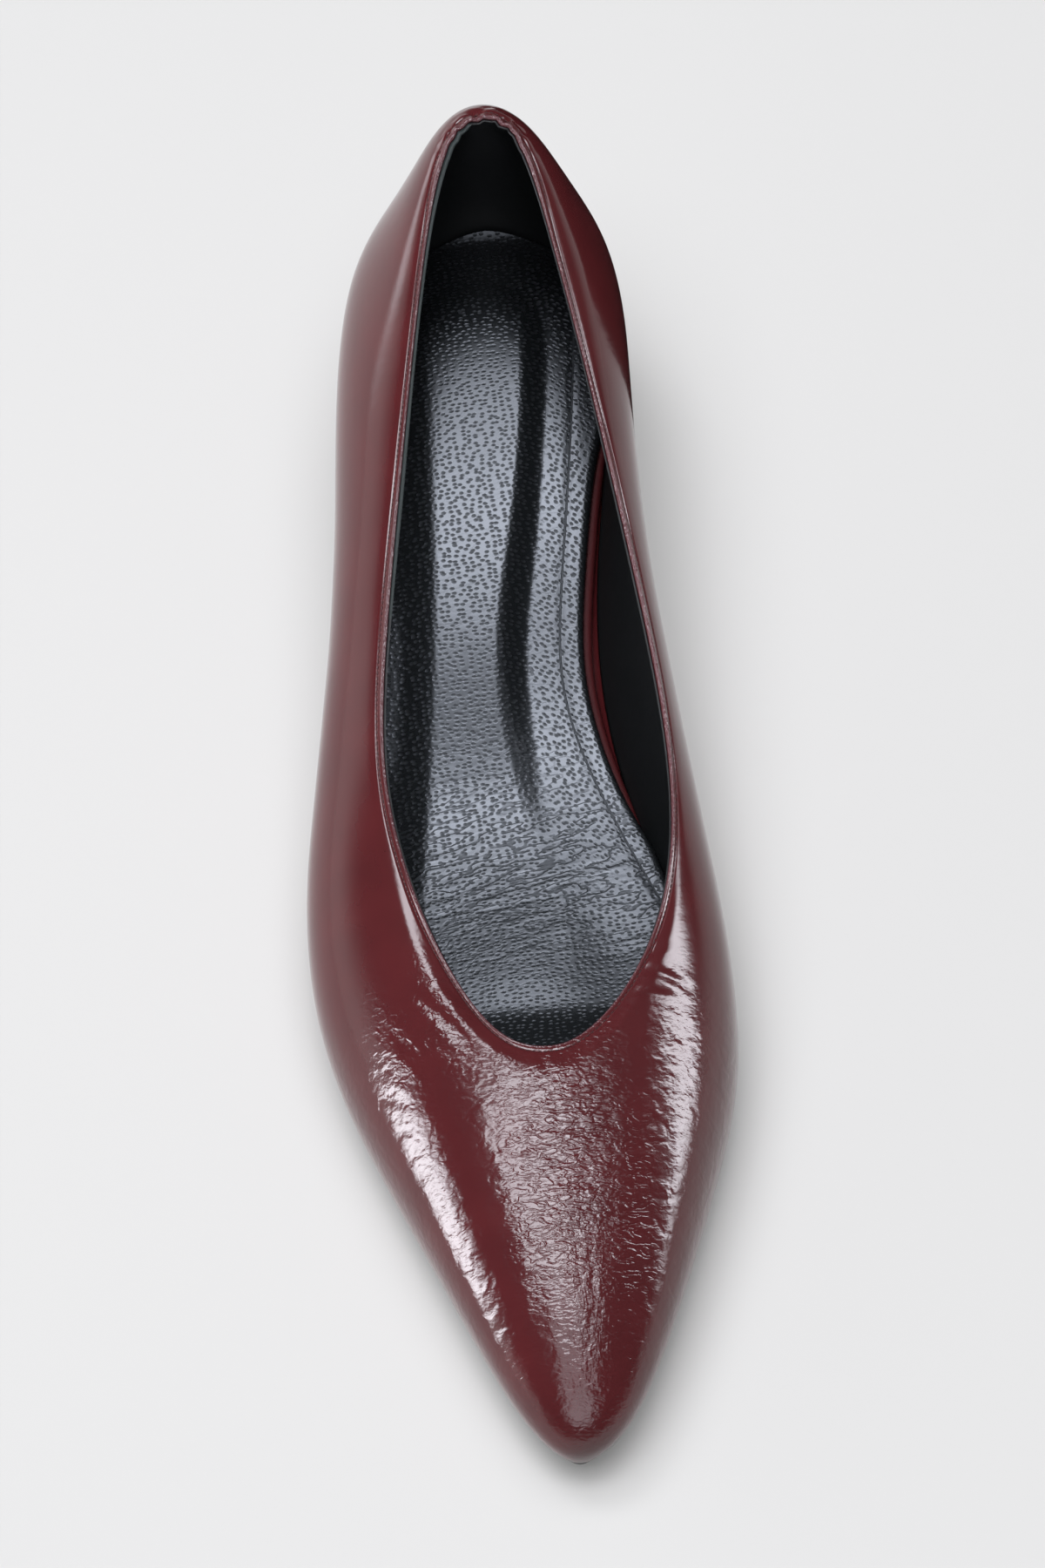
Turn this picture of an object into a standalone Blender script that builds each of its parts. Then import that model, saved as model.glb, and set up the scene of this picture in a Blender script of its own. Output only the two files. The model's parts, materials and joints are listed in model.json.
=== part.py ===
"""Low stiletto pump for the right foot: upper, insole, sock, outsole, heel and top lift.

The upper is a band between two closed lines: the feather line, where it meets the sole, and the
topline, which edges the opening. Five rings of sections make a soft cage, and the leather is the
B-spline surface inside it. One bottom curve gives heel seat, arch, tread and toe spring, and every
other piece follows it.

Sizes are millimetres until place() turns them to metres: toe to -Y, medial side to +X, floor at z = 0
and the origin under the middle of the shoe.
"""

from collections import namedtuple

import bmesh
import bpy
import numpy as np

# Driving dimensions, in millimetres
LENGTH = 262.0           # feather line, back of the heel to tip of the toe
BALL_WIDTH = 76.0        # feather to feather across the ball, with the upper's swell
INSTEP = 36.0            # throat above the underside of the upper
HEEL_HEIGHT = 31.0       # heel seat above the floor
TOE_SPRING = 5.0         # lift of the toe tip above the tread
WALL = 1.6               # upper leather with its lining
LASTING_MARGIN = 7.0     # upper turned in under the insole
INSOLE_THICKNESS = 1.6
SOCK_THICKNESS = 2.0
SOLE_THICKNESS = 2.7
LIFT_THICKNESS = 5.0
GAP = 0.3                # between neighbouring pieces

# Places along the shoe, from the back of the feather line
SEAT_END = 5.0           # the level heel seat turns down into the arch
HEEL_BREAST = 46.0       # front face of the heel, where the outsole ends
TREAD_START = 165.0      # the sole lies flat on the floor between these two
TREAD_END = 185.0

# Insets of the lower pieces from the upper, in plan
SOLE_INSET = 0.8
HEEL_INSET = 0.4
LIFT_INSET = 0.2
SOCK_INSET = 1.2
BREAST_HOLLOW = 2.5      # how far the heel's front face is dished

# Facet counts
SIDE_COLUMNS = 45        # along each side of the upper, heel back to toe tip
BAND_ROWS = 4            # up the upper, between one ring and the next
SOLE_ROWS = 36
PLATE_ACROSS = 6
HEEL_ROWS = 16
HEEL_LEVELS = 9
SMOOTH_ANGLE = 0.6

MM = 0.001
FLOOR_STACK = SOLE_THICKNESS + GAP
INSOLE_RISE = WALL + GAP
SOCK_RISE = INSOLE_RISE + INSOLE_THICKNESS + GAP

# A section's columns: along in per cent of LENGTH, lateral and medial half widths in per cent of
# BALL_WIDTH, and rise above the bottom curve in per cent of INSTEP. The rows of every ring are heel back,
# heel corner, heel side, waist, shank, joint, ball, toe side, toe corner and toe tip. As on any soft
# cage, the sections stand a little outside the surface that they shape.
Section = namedtuple("Section", "along lateral medial rise")

FEATHER_RING = (
    Section(-1.0, 0.0, 0.0, 0),
    Section(2.0, 25.0, 24.5, 0),
    Section(9.5, 37.0, 38.0, 0),
    Section(29.5, 36.0, 21.5, 0),
    Section(43.5, 43.0, 21.5, 0),
    Section(59.5, 55.5, 42.5, 0),
    Section(70.5, 51.5, 49.0, 0),
    Section(85.0, 30.0, 30.5, 0),
    Section(97.2, 10.5, 12.0, 0),
    Section(101.6, 0.0, 0.0, 0),
)
WIDEST_RING = (
    Section(-2.2, 0.0, 0.0, 30),
    Section(0.6, 28.5, 25.5, 34),
    Section(9.8, 45.0, 39.0, 36),
    Section(30.0, 47.0, 30.5, 35),
    Section(44.5, 53.0, 32.5, 34),
    Section(59.5, 63.0, 47.0, 32),
    Section(72.0, 56.0, 52.0, 30),
    Section(85.0, 33.5, 35.0, 28),
    Section(100.0, 13.0, 16.5, 22),
    Section(101.3, 0.0, 0.0, 15),
)
EDGE_RING = (
    Section(-2.4, 0.0, 0.0, 62),
    Section(0.8, 23.5, 23.0, 66),
    Section(7.2, 38.5, 36.0, 71),
    Section(29.5, 44.5, 35.5, 72),
    Section(44.0, 53.0, 40.0, 70),
    Section(58.5, 61.5, 47.5, 68),
    Section(70.0, 54.0, 48.5, 68),
    Section(84.5, 33.5, 32.5, 64),
    Section(96.0, 14.5, 16.0, 51),
    Section(99.8, 0.0, 0.0, 39),
)
MIDDLE_RING = (
    Section(-1.3, 0.0, 0.0, 140),
    Section(1.5, 17.0, 18.5, 127),
    Section(14.0, 26.0, 26.0, 107),
    Section(28.5, 35.5, 31.5, 96),
    Section(42.5, 46.5, 38.5, 93),
    Section(56.5, 51.0, 43.0, 93),
    Section(65.5, 43.0, 40.5, 93),
    Section(77.5, 26.5, 25.0, 90),
    Section(86.0, 13.0, 12.0, 80),
    Section(90.4, 0.0, 0.0, 74),
)
TOPLINE_RING = (
    Section(2.4, 0.0, 0.0, 150),
    Section(4.2, 10.5, 11.5, 145),
    Section(10.4, 16.5, 15.5, 120),
    Section(26.5, 26.5, 26.5, 104),
    Section(43.5, 36.5, 35.5, 111),
    Section(52.5, 37.5, 37.5, 108),
    Section(62.5, 29.5, 33.0, 103),
    Section(69.5, 18.5, 19.0, 100),
    Section(72.5, 9.5, 7.5, 100),
    Section(73.0, 0.0, 0.0, 100),
)
RINGS = (FEATHER_RING, WIDEST_RING, EDGE_RING, MIDDLE_RING, TOPLINE_RING)

# A heel section's columns: share of the height from the lift to the seat, its back and its breast in
# millimetres along the shoe, and its width in per cent of the seat's.
HeelSection = namedtuple("HeelSection", "share back breast width")

HEEL_SECTIONS = (
    HeelSection(0.00, 11.0, 22.5, 20),
    HeelSection(0.25, 10.2, 23.5, 24),
    HeelSection(0.50, 7.8, 27.0, 38),
    HeelSection(0.72, 4.6, 33.0, 61),
    HeelSection(0.88, 1.8, 39.5, 83),
    HeelSection(1.00, 0.0, 46.0, 100),
)

# A finish's columns: linear base colour, roughness, metallic value and clear coat
Finish = namedtuple("Finish", "colour roughness metallic coat")

FINISHES = {
    "upper": Finish((0.115, 0.012, 0.019), 0.25, 0.0, 1.0),
    "insole": Finish((0.105, 0.012, 0.018), 0.40, 0.0, 0.2),
    "sock": Finish((0.012, 0.012, 0.013), 0.45, 0.0, 0.0),
    "outsole": Finish((0.016, 0.014, 0.014), 0.60, 0.0, 0.0),
    "heel": Finish((0.110, 0.012, 0.018), 0.25, 0.0, 1.0),
    "top_lift": Finish((0.010, 0.010, 0.010), 0.65, 0.0, 0.0),
}


# Curves

def spline_weights(places):
    """Cubic B-spline: whole part of each place and the weights of the four controls about it."""
    t = places % 1
    weights = [(1 - t)**3, 3 * t**3 - 6 * t**2 + 4, 1 + 3 * t + 3 * t**2 - 3 * t**3, t**3]
    return np.floor(places).astype(int), np.stack(weights, axis=1) / 6


def soft_loop(controls, places):
    """Closed curve that follows a ring of controls, read at places counted in controls."""
    whole, weights = spline_weights(places)
    four = (whole[:, None] + np.arange(-1, 3)) % len(controls)
    return np.einsum("ij,ij...->i...", weights, controls[four])


def soft_line(controls, places):
    """Open curve that follows a row of controls from the first to the last, both of which it meets."""
    before = 2 * controls[:1] - controls[1:2]
    after = 2 * controls[-1:] - controls[-2:-1]
    run = np.concatenate([before, controls, after, after])
    whole, weights = spline_weights(places)
    four = whole[:, None] + np.arange(4)
    return np.einsum("ij,ij...->i...", weights, run[four])


def bottom(along):
    """Height of the upper's underside: level seat, arch down to the tread, toe spring."""
    arch = np.clip((along - SEAT_END) / (TREAD_START - SEAT_END), 0, 1)
    spring = np.clip((along - TREAD_END) / (LENGTH - TREAD_END), 0, None)
    fall = 1 - arch**3 * (10 - 15 * arch + 6 * arch**2)
    return FLOOR_STACK + (HEEL_HEIGHT - FLOOR_STACK) * fall + TOE_SPRING * spring**3


# The last: a band of columns from the feather line up to the topline. A turn counts the sections round
# the shoe: 0 at the heel back, down the lateral side to TOE_TURN, and back along the medial side.

TOE_TURN = len(FEATHER_RING) - 1
FULL_TURN = 2 * TOE_TURN


def both_sides(lateral, medial):
    """Joins a lateral run, heel to toe, and a medial one into one loop."""
    return np.concatenate([lateral, medial[-2:0:-1]])


def ring_controls(ring):
    """The ring's sections as a loop of (along, across, rise), lateral side first."""
    along, lateral, medial, rise = np.array(ring).T
    along = along * LENGTH / 100
    rise = rise * INSTEP / 100
    outer = np.stack([along, -lateral * BALL_WIDTH / 100, rise], axis=1)
    inner = np.stack([along, medial * BALL_WIDTH / 100, rise], axis=1)
    return both_sides(outer, inner)


def last_surface(turns, levels):
    """Outer face of the upper as (along, across, height): level 0 is the feather line, 4 the topline."""
    rings = np.stack([soft_loop(ring_controls(ring), turns) for ring in RINGS])
    surface = soft_line(rings, levels)
    surface[..., 2] += bottom(surface[..., 0])
    return surface


def outward(surface):
    """Unit normals of a surface of closed rows."""
    around = np.roll(surface, -1, axis=1) - np.roll(surface, 1, axis=1)
    up = np.gradient(surface, axis=0)
    normal = np.cross(around, up)
    return normal / np.linalg.norm(normal, axis=2, keepdims=True)


def wall_line(turns, rise, clearance):
    """Plan of the upper's wall at a rise above the bottom curve, moved in by a clearance."""
    surface = last_surface(turns, np.linspace(0, 1.5, 40))
    inside = surface - clearance * outward(surface)
    line = np.empty((len(turns), 2))
    for column in range(len(turns)):
        points = inside[:, column]
        rises = points[:, 2] - bottom(points[:, 0])
        line[column] = [np.interp(rise, rises, points[:, axis]) for axis in (0, 1)]
    return line


def feather_line(turns, inset):
    """Plan of the feather line, moved in by an inset."""
    nudge = 0.01
    controls = ring_controls(FEATHER_RING)[:, :2]
    here = soft_loop(controls, turns)
    tangent = soft_loop(controls, turns + nudge) - soft_loop(controls, turns - nudge)
    tangent /= np.linalg.norm(tangent, axis=1, keepdims=True)
    inward = np.stack([-tangent[:, 1], tangent[:, 0]], axis=1)
    return here + inset * inward


def turn_at(along, inset, medial):
    """Turn at which the inset feather line passes a place along the shoe, on one side."""
    turns = np.linspace(0, TOE_TURN / 2, 400)
    line = feather_line(FULL_TURN - turns if medial else turns, inset)
    return np.interp(along, line[:, 0], turns)


def side_lines(start, end, rows, inset):
    """Lateral and medial feather line between two places along the shoe, each a run of rows."""
    lines = []
    for medial in (False, True):
        first = 0.0 if start is None else turn_at(start, inset, medial)
        last = TOE_TURN if end is None else turn_at(end, inset, medial)
        turns = np.linspace(first, last, rows + 1)
        lines.append(feather_line(FULL_TURN - turns if medial else turns, inset))
    return lines


SIDE_TURNS = np.linspace(0, TOE_TURN, SIDE_COLUMNS + 1)
LAST_TURNS = both_sides(SIDE_TURNS, FULL_TURN - SIDE_TURNS)
TOP_LEVEL = len(RINGS) - 1
OUTER_FACE = last_surface(LAST_TURNS, np.linspace(0, TOP_LEVEL, TOP_LEVEL * BAND_ROWS + 1))
MIDDLE = (OUTER_FACE.min(axis=(0, 1)) + OUTER_FACE.max(axis=(0, 1))) / 2


def place(points):
    """Shoe millimetres (along, across, height) to metres in the model's frame."""
    along, across, height = np.moveaxis(np.asarray(points), -1, 0)
    return np.stack([across - MIDDLE[1], MIDDLE[0] - along, height], axis=-1) * MM


# Objects

def collection(name):
    made = bpy.data.collections.new(name)
    bpy.context.scene.collection.children.link(made)
    return made


def finish(name):
    """Principled material of one piece."""
    look = FINISHES[name]
    material = bpy.data.materials.new(name)
    material.use_nodes = True
    shader = material.node_tree.nodes["Principled BSDF"]
    shader.inputs["Base Color"].default_value = (*look.colour, 1)
    shader.inputs["Roughness"].default_value = look.roughness
    shader.inputs["Metallic"].default_value = look.metallic
    shader.inputs["Coat Weight"].default_value = look.coat
    return material


def piece(name, shape, parts):
    """Object of a bmesh, smooth but for its sharp edges."""
    mesh = bpy.data.meshes.new(name)
    shape.to_mesh(mesh)
    shape.free()
    mesh.shade_smooth()
    mesh.set_sharp_from_angle(angle=SMOOTH_ANGLE)
    mesh.materials.append(finish(name))
    made = bpy.data.objects.new(name, mesh)
    parts.objects.link(made)
    return made


def add_grid(shape, points, closed):
    """Vertices of a grid and the quads between them, rows closed or open. Returns the vertices."""
    rows, columns = points.shape[:2]
    grid = [[shape.verts.new(point) for point in row] for row in place(points)]
    for r in range(rows - 1):
        for c in range(columns if closed else columns - 1):
            d = (c + 1) % columns
            shape.faces.new((grid[r][c], grid[r][d], grid[r + 1][d], grid[r + 1][c]))
    return grid


def rim(rows, columns):
    """Places of a grid's outer cells, once round."""
    first = [(0, c) for c in range(columns)]
    right = [(r, columns - 1) for r in range(1, rows)]
    last = [(rows - 1, c) for c in range(columns - 2, -1, -1)]
    left = [(r, 0) for r in range(rows - 2, 0, -1)]
    return first + right + last + left


def add_block(name, levels, parts):
    """Closed solid through levels of equal grids: two filled faces and the sides between their rims.

    Rows that shrink to a point, as at the toe tip, are merged.
    """
    merge = 0.00002
    shape = bmesh.new()
    around = rim(*levels[0].shape[:2])
    ends = [add_grid(shape, levels[0], False), add_grid(shape, levels[-1], False)]
    loops = [[ends[0][r][c] for r, c in around]]
    for level in levels[1:-1]:
        points = place(level)
        loops.append([shape.verts.new(points[r, c]) for r, c in around])
    loops.append([ends[1][r][c] for r, c in around])
    for low, high in zip(loops, loops[1:]):
        for i in range(len(around)):
            shape.faces.new((low[i - 1], low[i], high[i], high[i - 1]))
    bmesh.ops.remove_doubles(shape, verts=shape.verts, dist=merge)
    bmesh.ops.recalc_face_normals(shape, faces=shape.faces)
    return piece(name, shape, parts)


def across_rows(lateral, medial, heights):
    """Grid from rows of plan points: straight across from side to side, at a height along the shoe."""
    share = np.linspace(0, 1, PLATE_ACROSS + 1)[None, :, None]
    plan = lateral[:, None, :] * (1 - share) + medial[:, None, :] * share
    return np.concatenate([plan, heights(plan[..., :1])], axis=2)


# Pieces

def add_upper(parts):
    """Hollow wall, open at the topline and underneath, with its margin turned in over the sole."""
    margin = OUTER_FACE[:1].copy()
    half_length = LENGTH / 2
    half_width = BALL_WIDTH / 2
    margin[..., 0] = half_length + (margin[..., 0] - half_length) * (1 - LASTING_MARGIN / half_length)
    margin[..., 1] *= 1 - LASTING_MARGIN / half_width
    margin[..., 2] = bottom(margin[..., 0])
    shape = bmesh.new()
    add_grid(shape, np.concatenate([margin, OUTER_FACE]), True)
    upper = piece("upper", shape, parts)
    wall = upper.modifiers.new("wall", "SOLIDIFY")
    wall.thickness = WALL * MM
    wall.offset = -1
    wall.use_even_offset = True
    wall.use_quality_normals = True


def add_inner_plate(name, rise, thickness, inset, parts):
    """Plate inside the upper that follows the wall, such as the insole."""
    levels = []
    for level in (rise, rise + thickness):
        line = wall_line(LAST_TURNS, level, WALL + GAP + inset)
        lateral = line[:SIDE_COLUMNS + 1]
        medial = np.concatenate([line[:1], line[:SIDE_COLUMNS - 1:-1]])
        levels.append(across_rows(lateral, medial, lambda along: bottom(along) + level))
    add_block(name, levels, parts)


def add_outsole(parts):
    """Sole from the heel breast to the toe tip: arch, flat tread and toe spring."""
    sides = side_lines(HEEL_BREAST + GAP, None, SOLE_ROWS, SOLE_INSET)
    low = across_rows(*sides, lambda along: bottom(along) - FLOOR_STACK)
    high = across_rows(*sides, lambda along: bottom(along) - GAP)
    add_block("outsole", [low, high], parts)


def heel_section(plan, section):
    """The seat outline drawn in to one section of the heel."""
    _, back, breast, width = section
    drawn = plan.copy()
    drawn[:, 0] = back + plan[:, 0] / HEEL_BREAST * (breast - back)
    drawn[:, 1] *= width / 100
    return drawn


def add_heel(parts):
    """Covered block, cupped to the seat, that draws in to a slim stem with a dished breast."""
    lateral, medial = side_lines(None, HEEL_BREAST, HEEL_ROWS, HEEL_INSET)
    foot = LIFT_THICKNESS + GAP
    steps = np.linspace(0, len(HEEL_SECTIONS) - 1, HEEL_LEVELS + 1)
    seat = across_rows(lateral, medial, lambda along: bottom(along) - GAP)
    levels = []
    for section in soft_line(np.array(HEEL_SECTIONS), steps):
        share = section[0]
        sides = heel_section(lateral, section), heel_section(medial, section)
        level = across_rows(*sides, np.zeros_like)
        level[..., 2] = foot + share * (seat[..., 2] - foot)
        dish = np.sin(np.pi * np.linspace(0, 1, PLATE_ACROSS + 1))
        level[-1, :, 0] -= BREAST_HOLLOW * 4 * share * (1 - share) * dish
        levels.append(level)
    add_block("heel", levels, parts)


def add_top_lift(parts):
    """Wearing tip under the heel, flat on the floor."""
    lateral, medial = side_lines(None, HEEL_BREAST, HEEL_ROWS, HEEL_INSET)
    stem = HEEL_SECTIONS[0]
    drawn = stem._replace(
        back=stem.back + LIFT_INSET, breast=stem.breast - LIFT_INSET, width=stem.width - LIFT_INSET
    )
    sides = heel_section(lateral, drawn), heel_section(medial, drawn)
    low = across_rows(*sides, np.zeros_like)
    high = across_rows(*sides, lambda along: np.full_like(along, LIFT_THICKNESS))
    add_block("top_lift", [low, high], parts)


def main():
    for old in list(bpy.data.objects):
        bpy.data.objects.remove(old, do_unlink=True)
    parts = collection("low_stiletto_pump")
    add_upper(parts)
    add_inner_plate("insole", INSOLE_RISE, INSOLE_THICKNESS, 0.0, parts)
    add_inner_plate("sock", SOCK_RISE, SOCK_THICKNESS, SOCK_INSET, parts)
    add_outsole(parts)
    add_heel(parts)
    add_top_lift(parts)


main()
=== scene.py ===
"""Looks of a low stiletto pump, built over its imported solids.

The upper is one band of crinkled patent leather, folded over at the topline, with a black lining inside.
A padded sock of milled leather lies on the wrapped insole, and a covered heel and a thin sole carry them.

Shapes are worked out in shoe millimetres: along from the heel to the toe, across towards the medial side,
and height above the floor. place() turns them to metres in the model's frame, toe to -Y.
"""

import json
import math
from collections import namedtuple
from functools import partial

import bmesh
import bpy
import numpy as np
from bpy.props import FloatProperty, FloatVectorProperty, PointerProperty
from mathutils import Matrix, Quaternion, Vector, noise
from mathutils.kdtree import KDTree

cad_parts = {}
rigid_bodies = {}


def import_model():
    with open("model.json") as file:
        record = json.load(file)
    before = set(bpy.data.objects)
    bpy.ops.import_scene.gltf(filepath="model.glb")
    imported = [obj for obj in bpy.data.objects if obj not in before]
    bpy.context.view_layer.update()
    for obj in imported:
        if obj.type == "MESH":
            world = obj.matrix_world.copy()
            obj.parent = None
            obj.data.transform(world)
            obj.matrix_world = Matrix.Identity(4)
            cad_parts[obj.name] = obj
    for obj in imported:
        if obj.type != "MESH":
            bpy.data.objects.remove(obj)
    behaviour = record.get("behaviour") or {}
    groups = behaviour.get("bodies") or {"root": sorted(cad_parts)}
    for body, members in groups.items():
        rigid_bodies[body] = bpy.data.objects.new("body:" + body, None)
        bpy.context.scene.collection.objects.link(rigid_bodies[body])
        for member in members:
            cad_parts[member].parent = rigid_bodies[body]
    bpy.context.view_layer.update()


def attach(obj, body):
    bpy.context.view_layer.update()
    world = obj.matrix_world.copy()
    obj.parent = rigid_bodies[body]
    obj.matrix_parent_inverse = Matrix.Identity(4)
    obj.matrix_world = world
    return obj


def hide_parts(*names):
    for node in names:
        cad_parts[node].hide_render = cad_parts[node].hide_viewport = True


bl_info = {
    "name": "Low stiletto pump",
    "version": (1, 0, 0),
    "blender": (4, 5, 0),
    "location": "View3D > Sidebar > Pump",
    "description": "Dresses the packed pump with its leathers, seams and a plain studio",
    "category": "Object",
}

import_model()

MM = 0.001

# The last, as the solids have it, in millimetres
LENGTH = 262.0
BALL_WIDTH = 76.0
INSTEP = 36.0
HEEL_HEIGHT = 31.0
TOE_SPRING = 5.0
WALL = 1.6
LASTING_MARGIN = 7.0
SOLE_THICKNESS = 2.7
LIFT_THICKNESS = 5.0
GAP = 0.3
SEAT_END = 5.0
HEEL_BREAST = 46.0
TREAD_START = 165.0
TREAD_END = 185.0
SOLE_INSET = 0.8
HEEL_INSET = 0.4
BREAST_HOLLOW = 2.5
FLOOR_STACK = SOLE_THICKNESS + GAP
# Where the topline turns into the throat, along the shoe
THROAT = (148, 182)

# Layers inside the upper, as rises above its underside
INSOLE_RISE = 1.9
INSOLE_TOP = 3.5
SOCK_RISE = 3.8
SOCK_TOP = 5.5

# A section's columns: along in per cent of LENGTH, lateral and medial half widths in per cent of
# BALL_WIDTH, and rise above the bottom curve in per cent of INSTEP. The rows of every ring are heel back,
# heel corner, heel side, waist, shank, joint, ball, toe side, toe corner and toe tip.
Section = namedtuple("Section", "along lateral medial rise")

FEATHER_RING = (
    Section(-1.0, 0.0, 0.0, 0),
    Section(2.0, 25.0, 24.5, 0),
    Section(9.5, 37.0, 38.0, 0),
    Section(29.5, 36.0, 21.5, 0),
    Section(43.5, 43.0, 21.5, 0),
    Section(59.5, 55.5, 42.5, 0),
    Section(70.5, 51.5, 49.0, 0),
    Section(85.0, 30.0, 30.5, 0),
    Section(97.2, 10.5, 12.0, 0),
    Section(101.6, 0.0, 0.0, 0),
)
WIDEST_RING = (
    Section(-2.2, 0.0, 0.0, 30),
    Section(0.6, 28.5, 25.5, 34),
    Section(9.8, 45.0, 39.0, 36),
    Section(30.0, 47.0, 30.5, 35),
    Section(44.5, 53.0, 32.5, 34),
    Section(59.5, 63.0, 47.0, 32),
    Section(72.0, 56.0, 52.0, 30),
    Section(85.0, 33.5, 35.0, 28),
    Section(100.0, 13.0, 16.5, 22),
    Section(101.3, 0.0, 0.0, 15),
)
EDGE_RING = (
    Section(-2.4, 0.0, 0.0, 62),
    Section(0.8, 23.5, 23.0, 66),
    Section(7.2, 38.5, 36.0, 71),
    Section(29.5, 44.5, 35.5, 72),
    Section(44.0, 53.0, 40.0, 70),
    Section(58.5, 61.5, 47.5, 68),
    Section(70.0, 54.0, 48.5, 68),
    Section(84.5, 33.5, 32.5, 64),
    Section(96.0, 14.5, 16.0, 51),
    Section(99.8, 0.0, 0.0, 39),
)
MIDDLE_RING = (
    Section(-1.3, 0.0, 0.0, 140),
    Section(1.5, 17.0, 18.5, 127),
    Section(14.0, 26.0, 26.0, 107),
    Section(28.5, 35.5, 31.5, 96),
    Section(42.5, 46.5, 38.5, 93),
    Section(56.5, 51.0, 43.0, 93),
    Section(65.5, 43.0, 40.5, 93),
    Section(77.5, 26.5, 25.0, 90),
    Section(86.0, 13.0, 12.0, 80),
    Section(90.4, 0.0, 0.0, 74),
)
TOPLINE_RING = (
    Section(2.4, 0.0, 0.0, 150),
    Section(4.2, 10.5, 11.5, 145),
    Section(10.4, 16.5, 15.5, 120),
    Section(26.5, 26.5, 26.5, 104),
    Section(43.5, 36.5, 35.5, 111),
    Section(52.5, 37.5, 37.5, 108),
    Section(62.5, 29.5, 33.0, 103),
    Section(69.5, 18.5, 19.0, 100),
    Section(72.5, 9.5, 7.5, 100),
    Section(73.0, 0.0, 0.0, 100),
)
RINGS = (FEATHER_RING, WIDEST_RING, EDGE_RING, MIDDLE_RING, TOPLINE_RING)
TOE_TURN = len(FEATHER_RING) - 1
FULL_TURN = 2 * TOE_TURN
TOP_LEVEL = len(RINGS) - 1
# Level at which the upper is widest
WIDEST_LEVEL = 1.5

# A heel section's columns: share of the height from the lift to the seat, its back and its breast in
# millimetres along the shoe, and its width in per cent of the seat's.
HeelSection = namedtuple("HeelSection", "share back breast width")

HEEL_SECTIONS = (
    HeelSection(0.00, 11.0, 22.5, 20),
    HeelSection(0.25, 10.2, 23.5, 24),
    HeelSection(0.50, 7.8, 27.0, 38),
    HeelSection(0.72, 4.6, 33.0, 61),
    HeelSection(0.88, 1.8, 39.5, 83),
    HeelSection(1.00, 0.0, 46.0, 100),
)

# A crease's columns: its middle in shoe millimetres, its heading in degrees from the toe towards the medial
# side, its length, how far its middle bows to the left of its heading, its half width and its depth
Crease = namedtuple("Crease", "along across heading length bow width depth")

CREASES = (
    # Puckers at the medial side of the throat
    Crease(178.5, 23.0, 69, 13, 0.6, 0.8, 0.13),
    Crease(182.0, 20.8, 82, 11, 0.4, 0.7, 0.10),
    Crease(173.0, 22.0, 118, 8, 0.3, 0.7, 0.08),
    # Folds that run along the lateral side of the throat
    Crease(183.0, -21.0, 40, 22, 0.8, 1.0, 0.13),
    Crease(187.0, -26.5, 41, 20, -0.6, 1.1, 0.10),
    Crease(179.5, -16.8, 42, 14, 0.4, 0.8, 0.10),
    Crease(196.0, -30.5, 60, 9, 0.4, 0.9, 0.12),
    # Waves across the vamp
    Crease(206.0, 2.0, 86, 24, -1.0, 1.1, 0.05),
    Crease(210.5, -5.0, 106, 12, 0.6, 0.9, 0.07),
    Crease(216.0, 4.0, 84, 17, -1.4, 0.9, 0.08),
    Crease(220.5, 1.0, 92, 20, -0.8, 0.9, 0.06),
    # Fine folds towards the toe
    Crease(232.0, 2.1, -1, 24, 0.3, 0.8, 0.08),
    Crease(234.0, 4.8, -2, 28, -0.4, 0.8, 0.09),
    Crease(244.0, -0.8, 2, 26, 0.3, 0.8, 0.07),
    # Nick in the middle of the throat
    Crease(193.5, -1.5, 10, 5, 0.0, 0.7, 0.08),
)

# A sock line's columns: along and across in shoe millimetres
SockPoint = namedtuple("SockPoint", "along across")

# The pad's ridge, and the foot of the slope that falls away from it on the medial side
RIDGE_MEDIAL = (
    SockPoint(0, 6.0), SockPoint(28, 5.4), SockPoint(46, 3.7), SockPoint(70, 0.0),
    SockPoint(88, -4.6), SockPoint(106, -5.6), SockPoint(124, -3.2), SockPoint(142, 2.2),
)
FOOT_MEDIAL = (
    SockPoint(0, 12.2), SockPoint(28, 11.5), SockPoint(52, 8.8), SockPoint(70, 6.8),
    SockPoint(86, 3.0), SockPoint(102, 2.0), SockPoint(122, 3.6), SockPoint(142, 5.4),
)
RIDGE_LATERAL = (
    SockPoint(0, -13.0), SockPoint(30, -14.6), SockPoint(80, -15.2),
    SockPoint(106, -17.7), SockPoint(130, -20.7), SockPoint(155, -25.0),
)
# Where the sock's two parts meet
SOCK_SEAM = (
    SockPoint(20, 17.0), SockPoint(46, 14.8), SockPoint(70, 11.5), SockPoint(92, 8.2),
    SockPoint(106, 8.6), SockPoint(124, 14.4), SockPoint(152, 27.0),
)
# Where the sock stops short of the medial wall, so that the insole's rim shows
SOCK_EDGE = (
    SockPoint(30, 30.0), SockPoint(50, 19.6), SockPoint(71, 16.1), SockPoint(92, 12.9),
    SockPoint(106, 13.8), SockPoint(124, 18.6), SockPoint(140, 27.0), SockPoint(156, 40.0),
)

# A ridge height's columns: along in shoe millimetres and how far the ridge stands above the sock there
RidgeHeight = namedtuple("RidgeHeight", "along height")

RIDGE_HEIGHTS = (
    RidgeHeight(-6, 0.0), RidgeHeight(8, 0.0), RidgeHeight(14, 0.0), RidgeHeight(20, 2.3),
    RidgeHeight(42, 2.4), RidgeHeight(64, 2.6), RidgeHeight(84, 3.1), RidgeHeight(97, 3.0),
    RidgeHeight(110, 2.1), RidgeHeight(121, 1.0), RidgeHeight(131, 0.25), RidgeHeight(142, -0.2),
    RidgeHeight(152, -0.2), RidgeHeight(162, 0.0),
)

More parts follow.
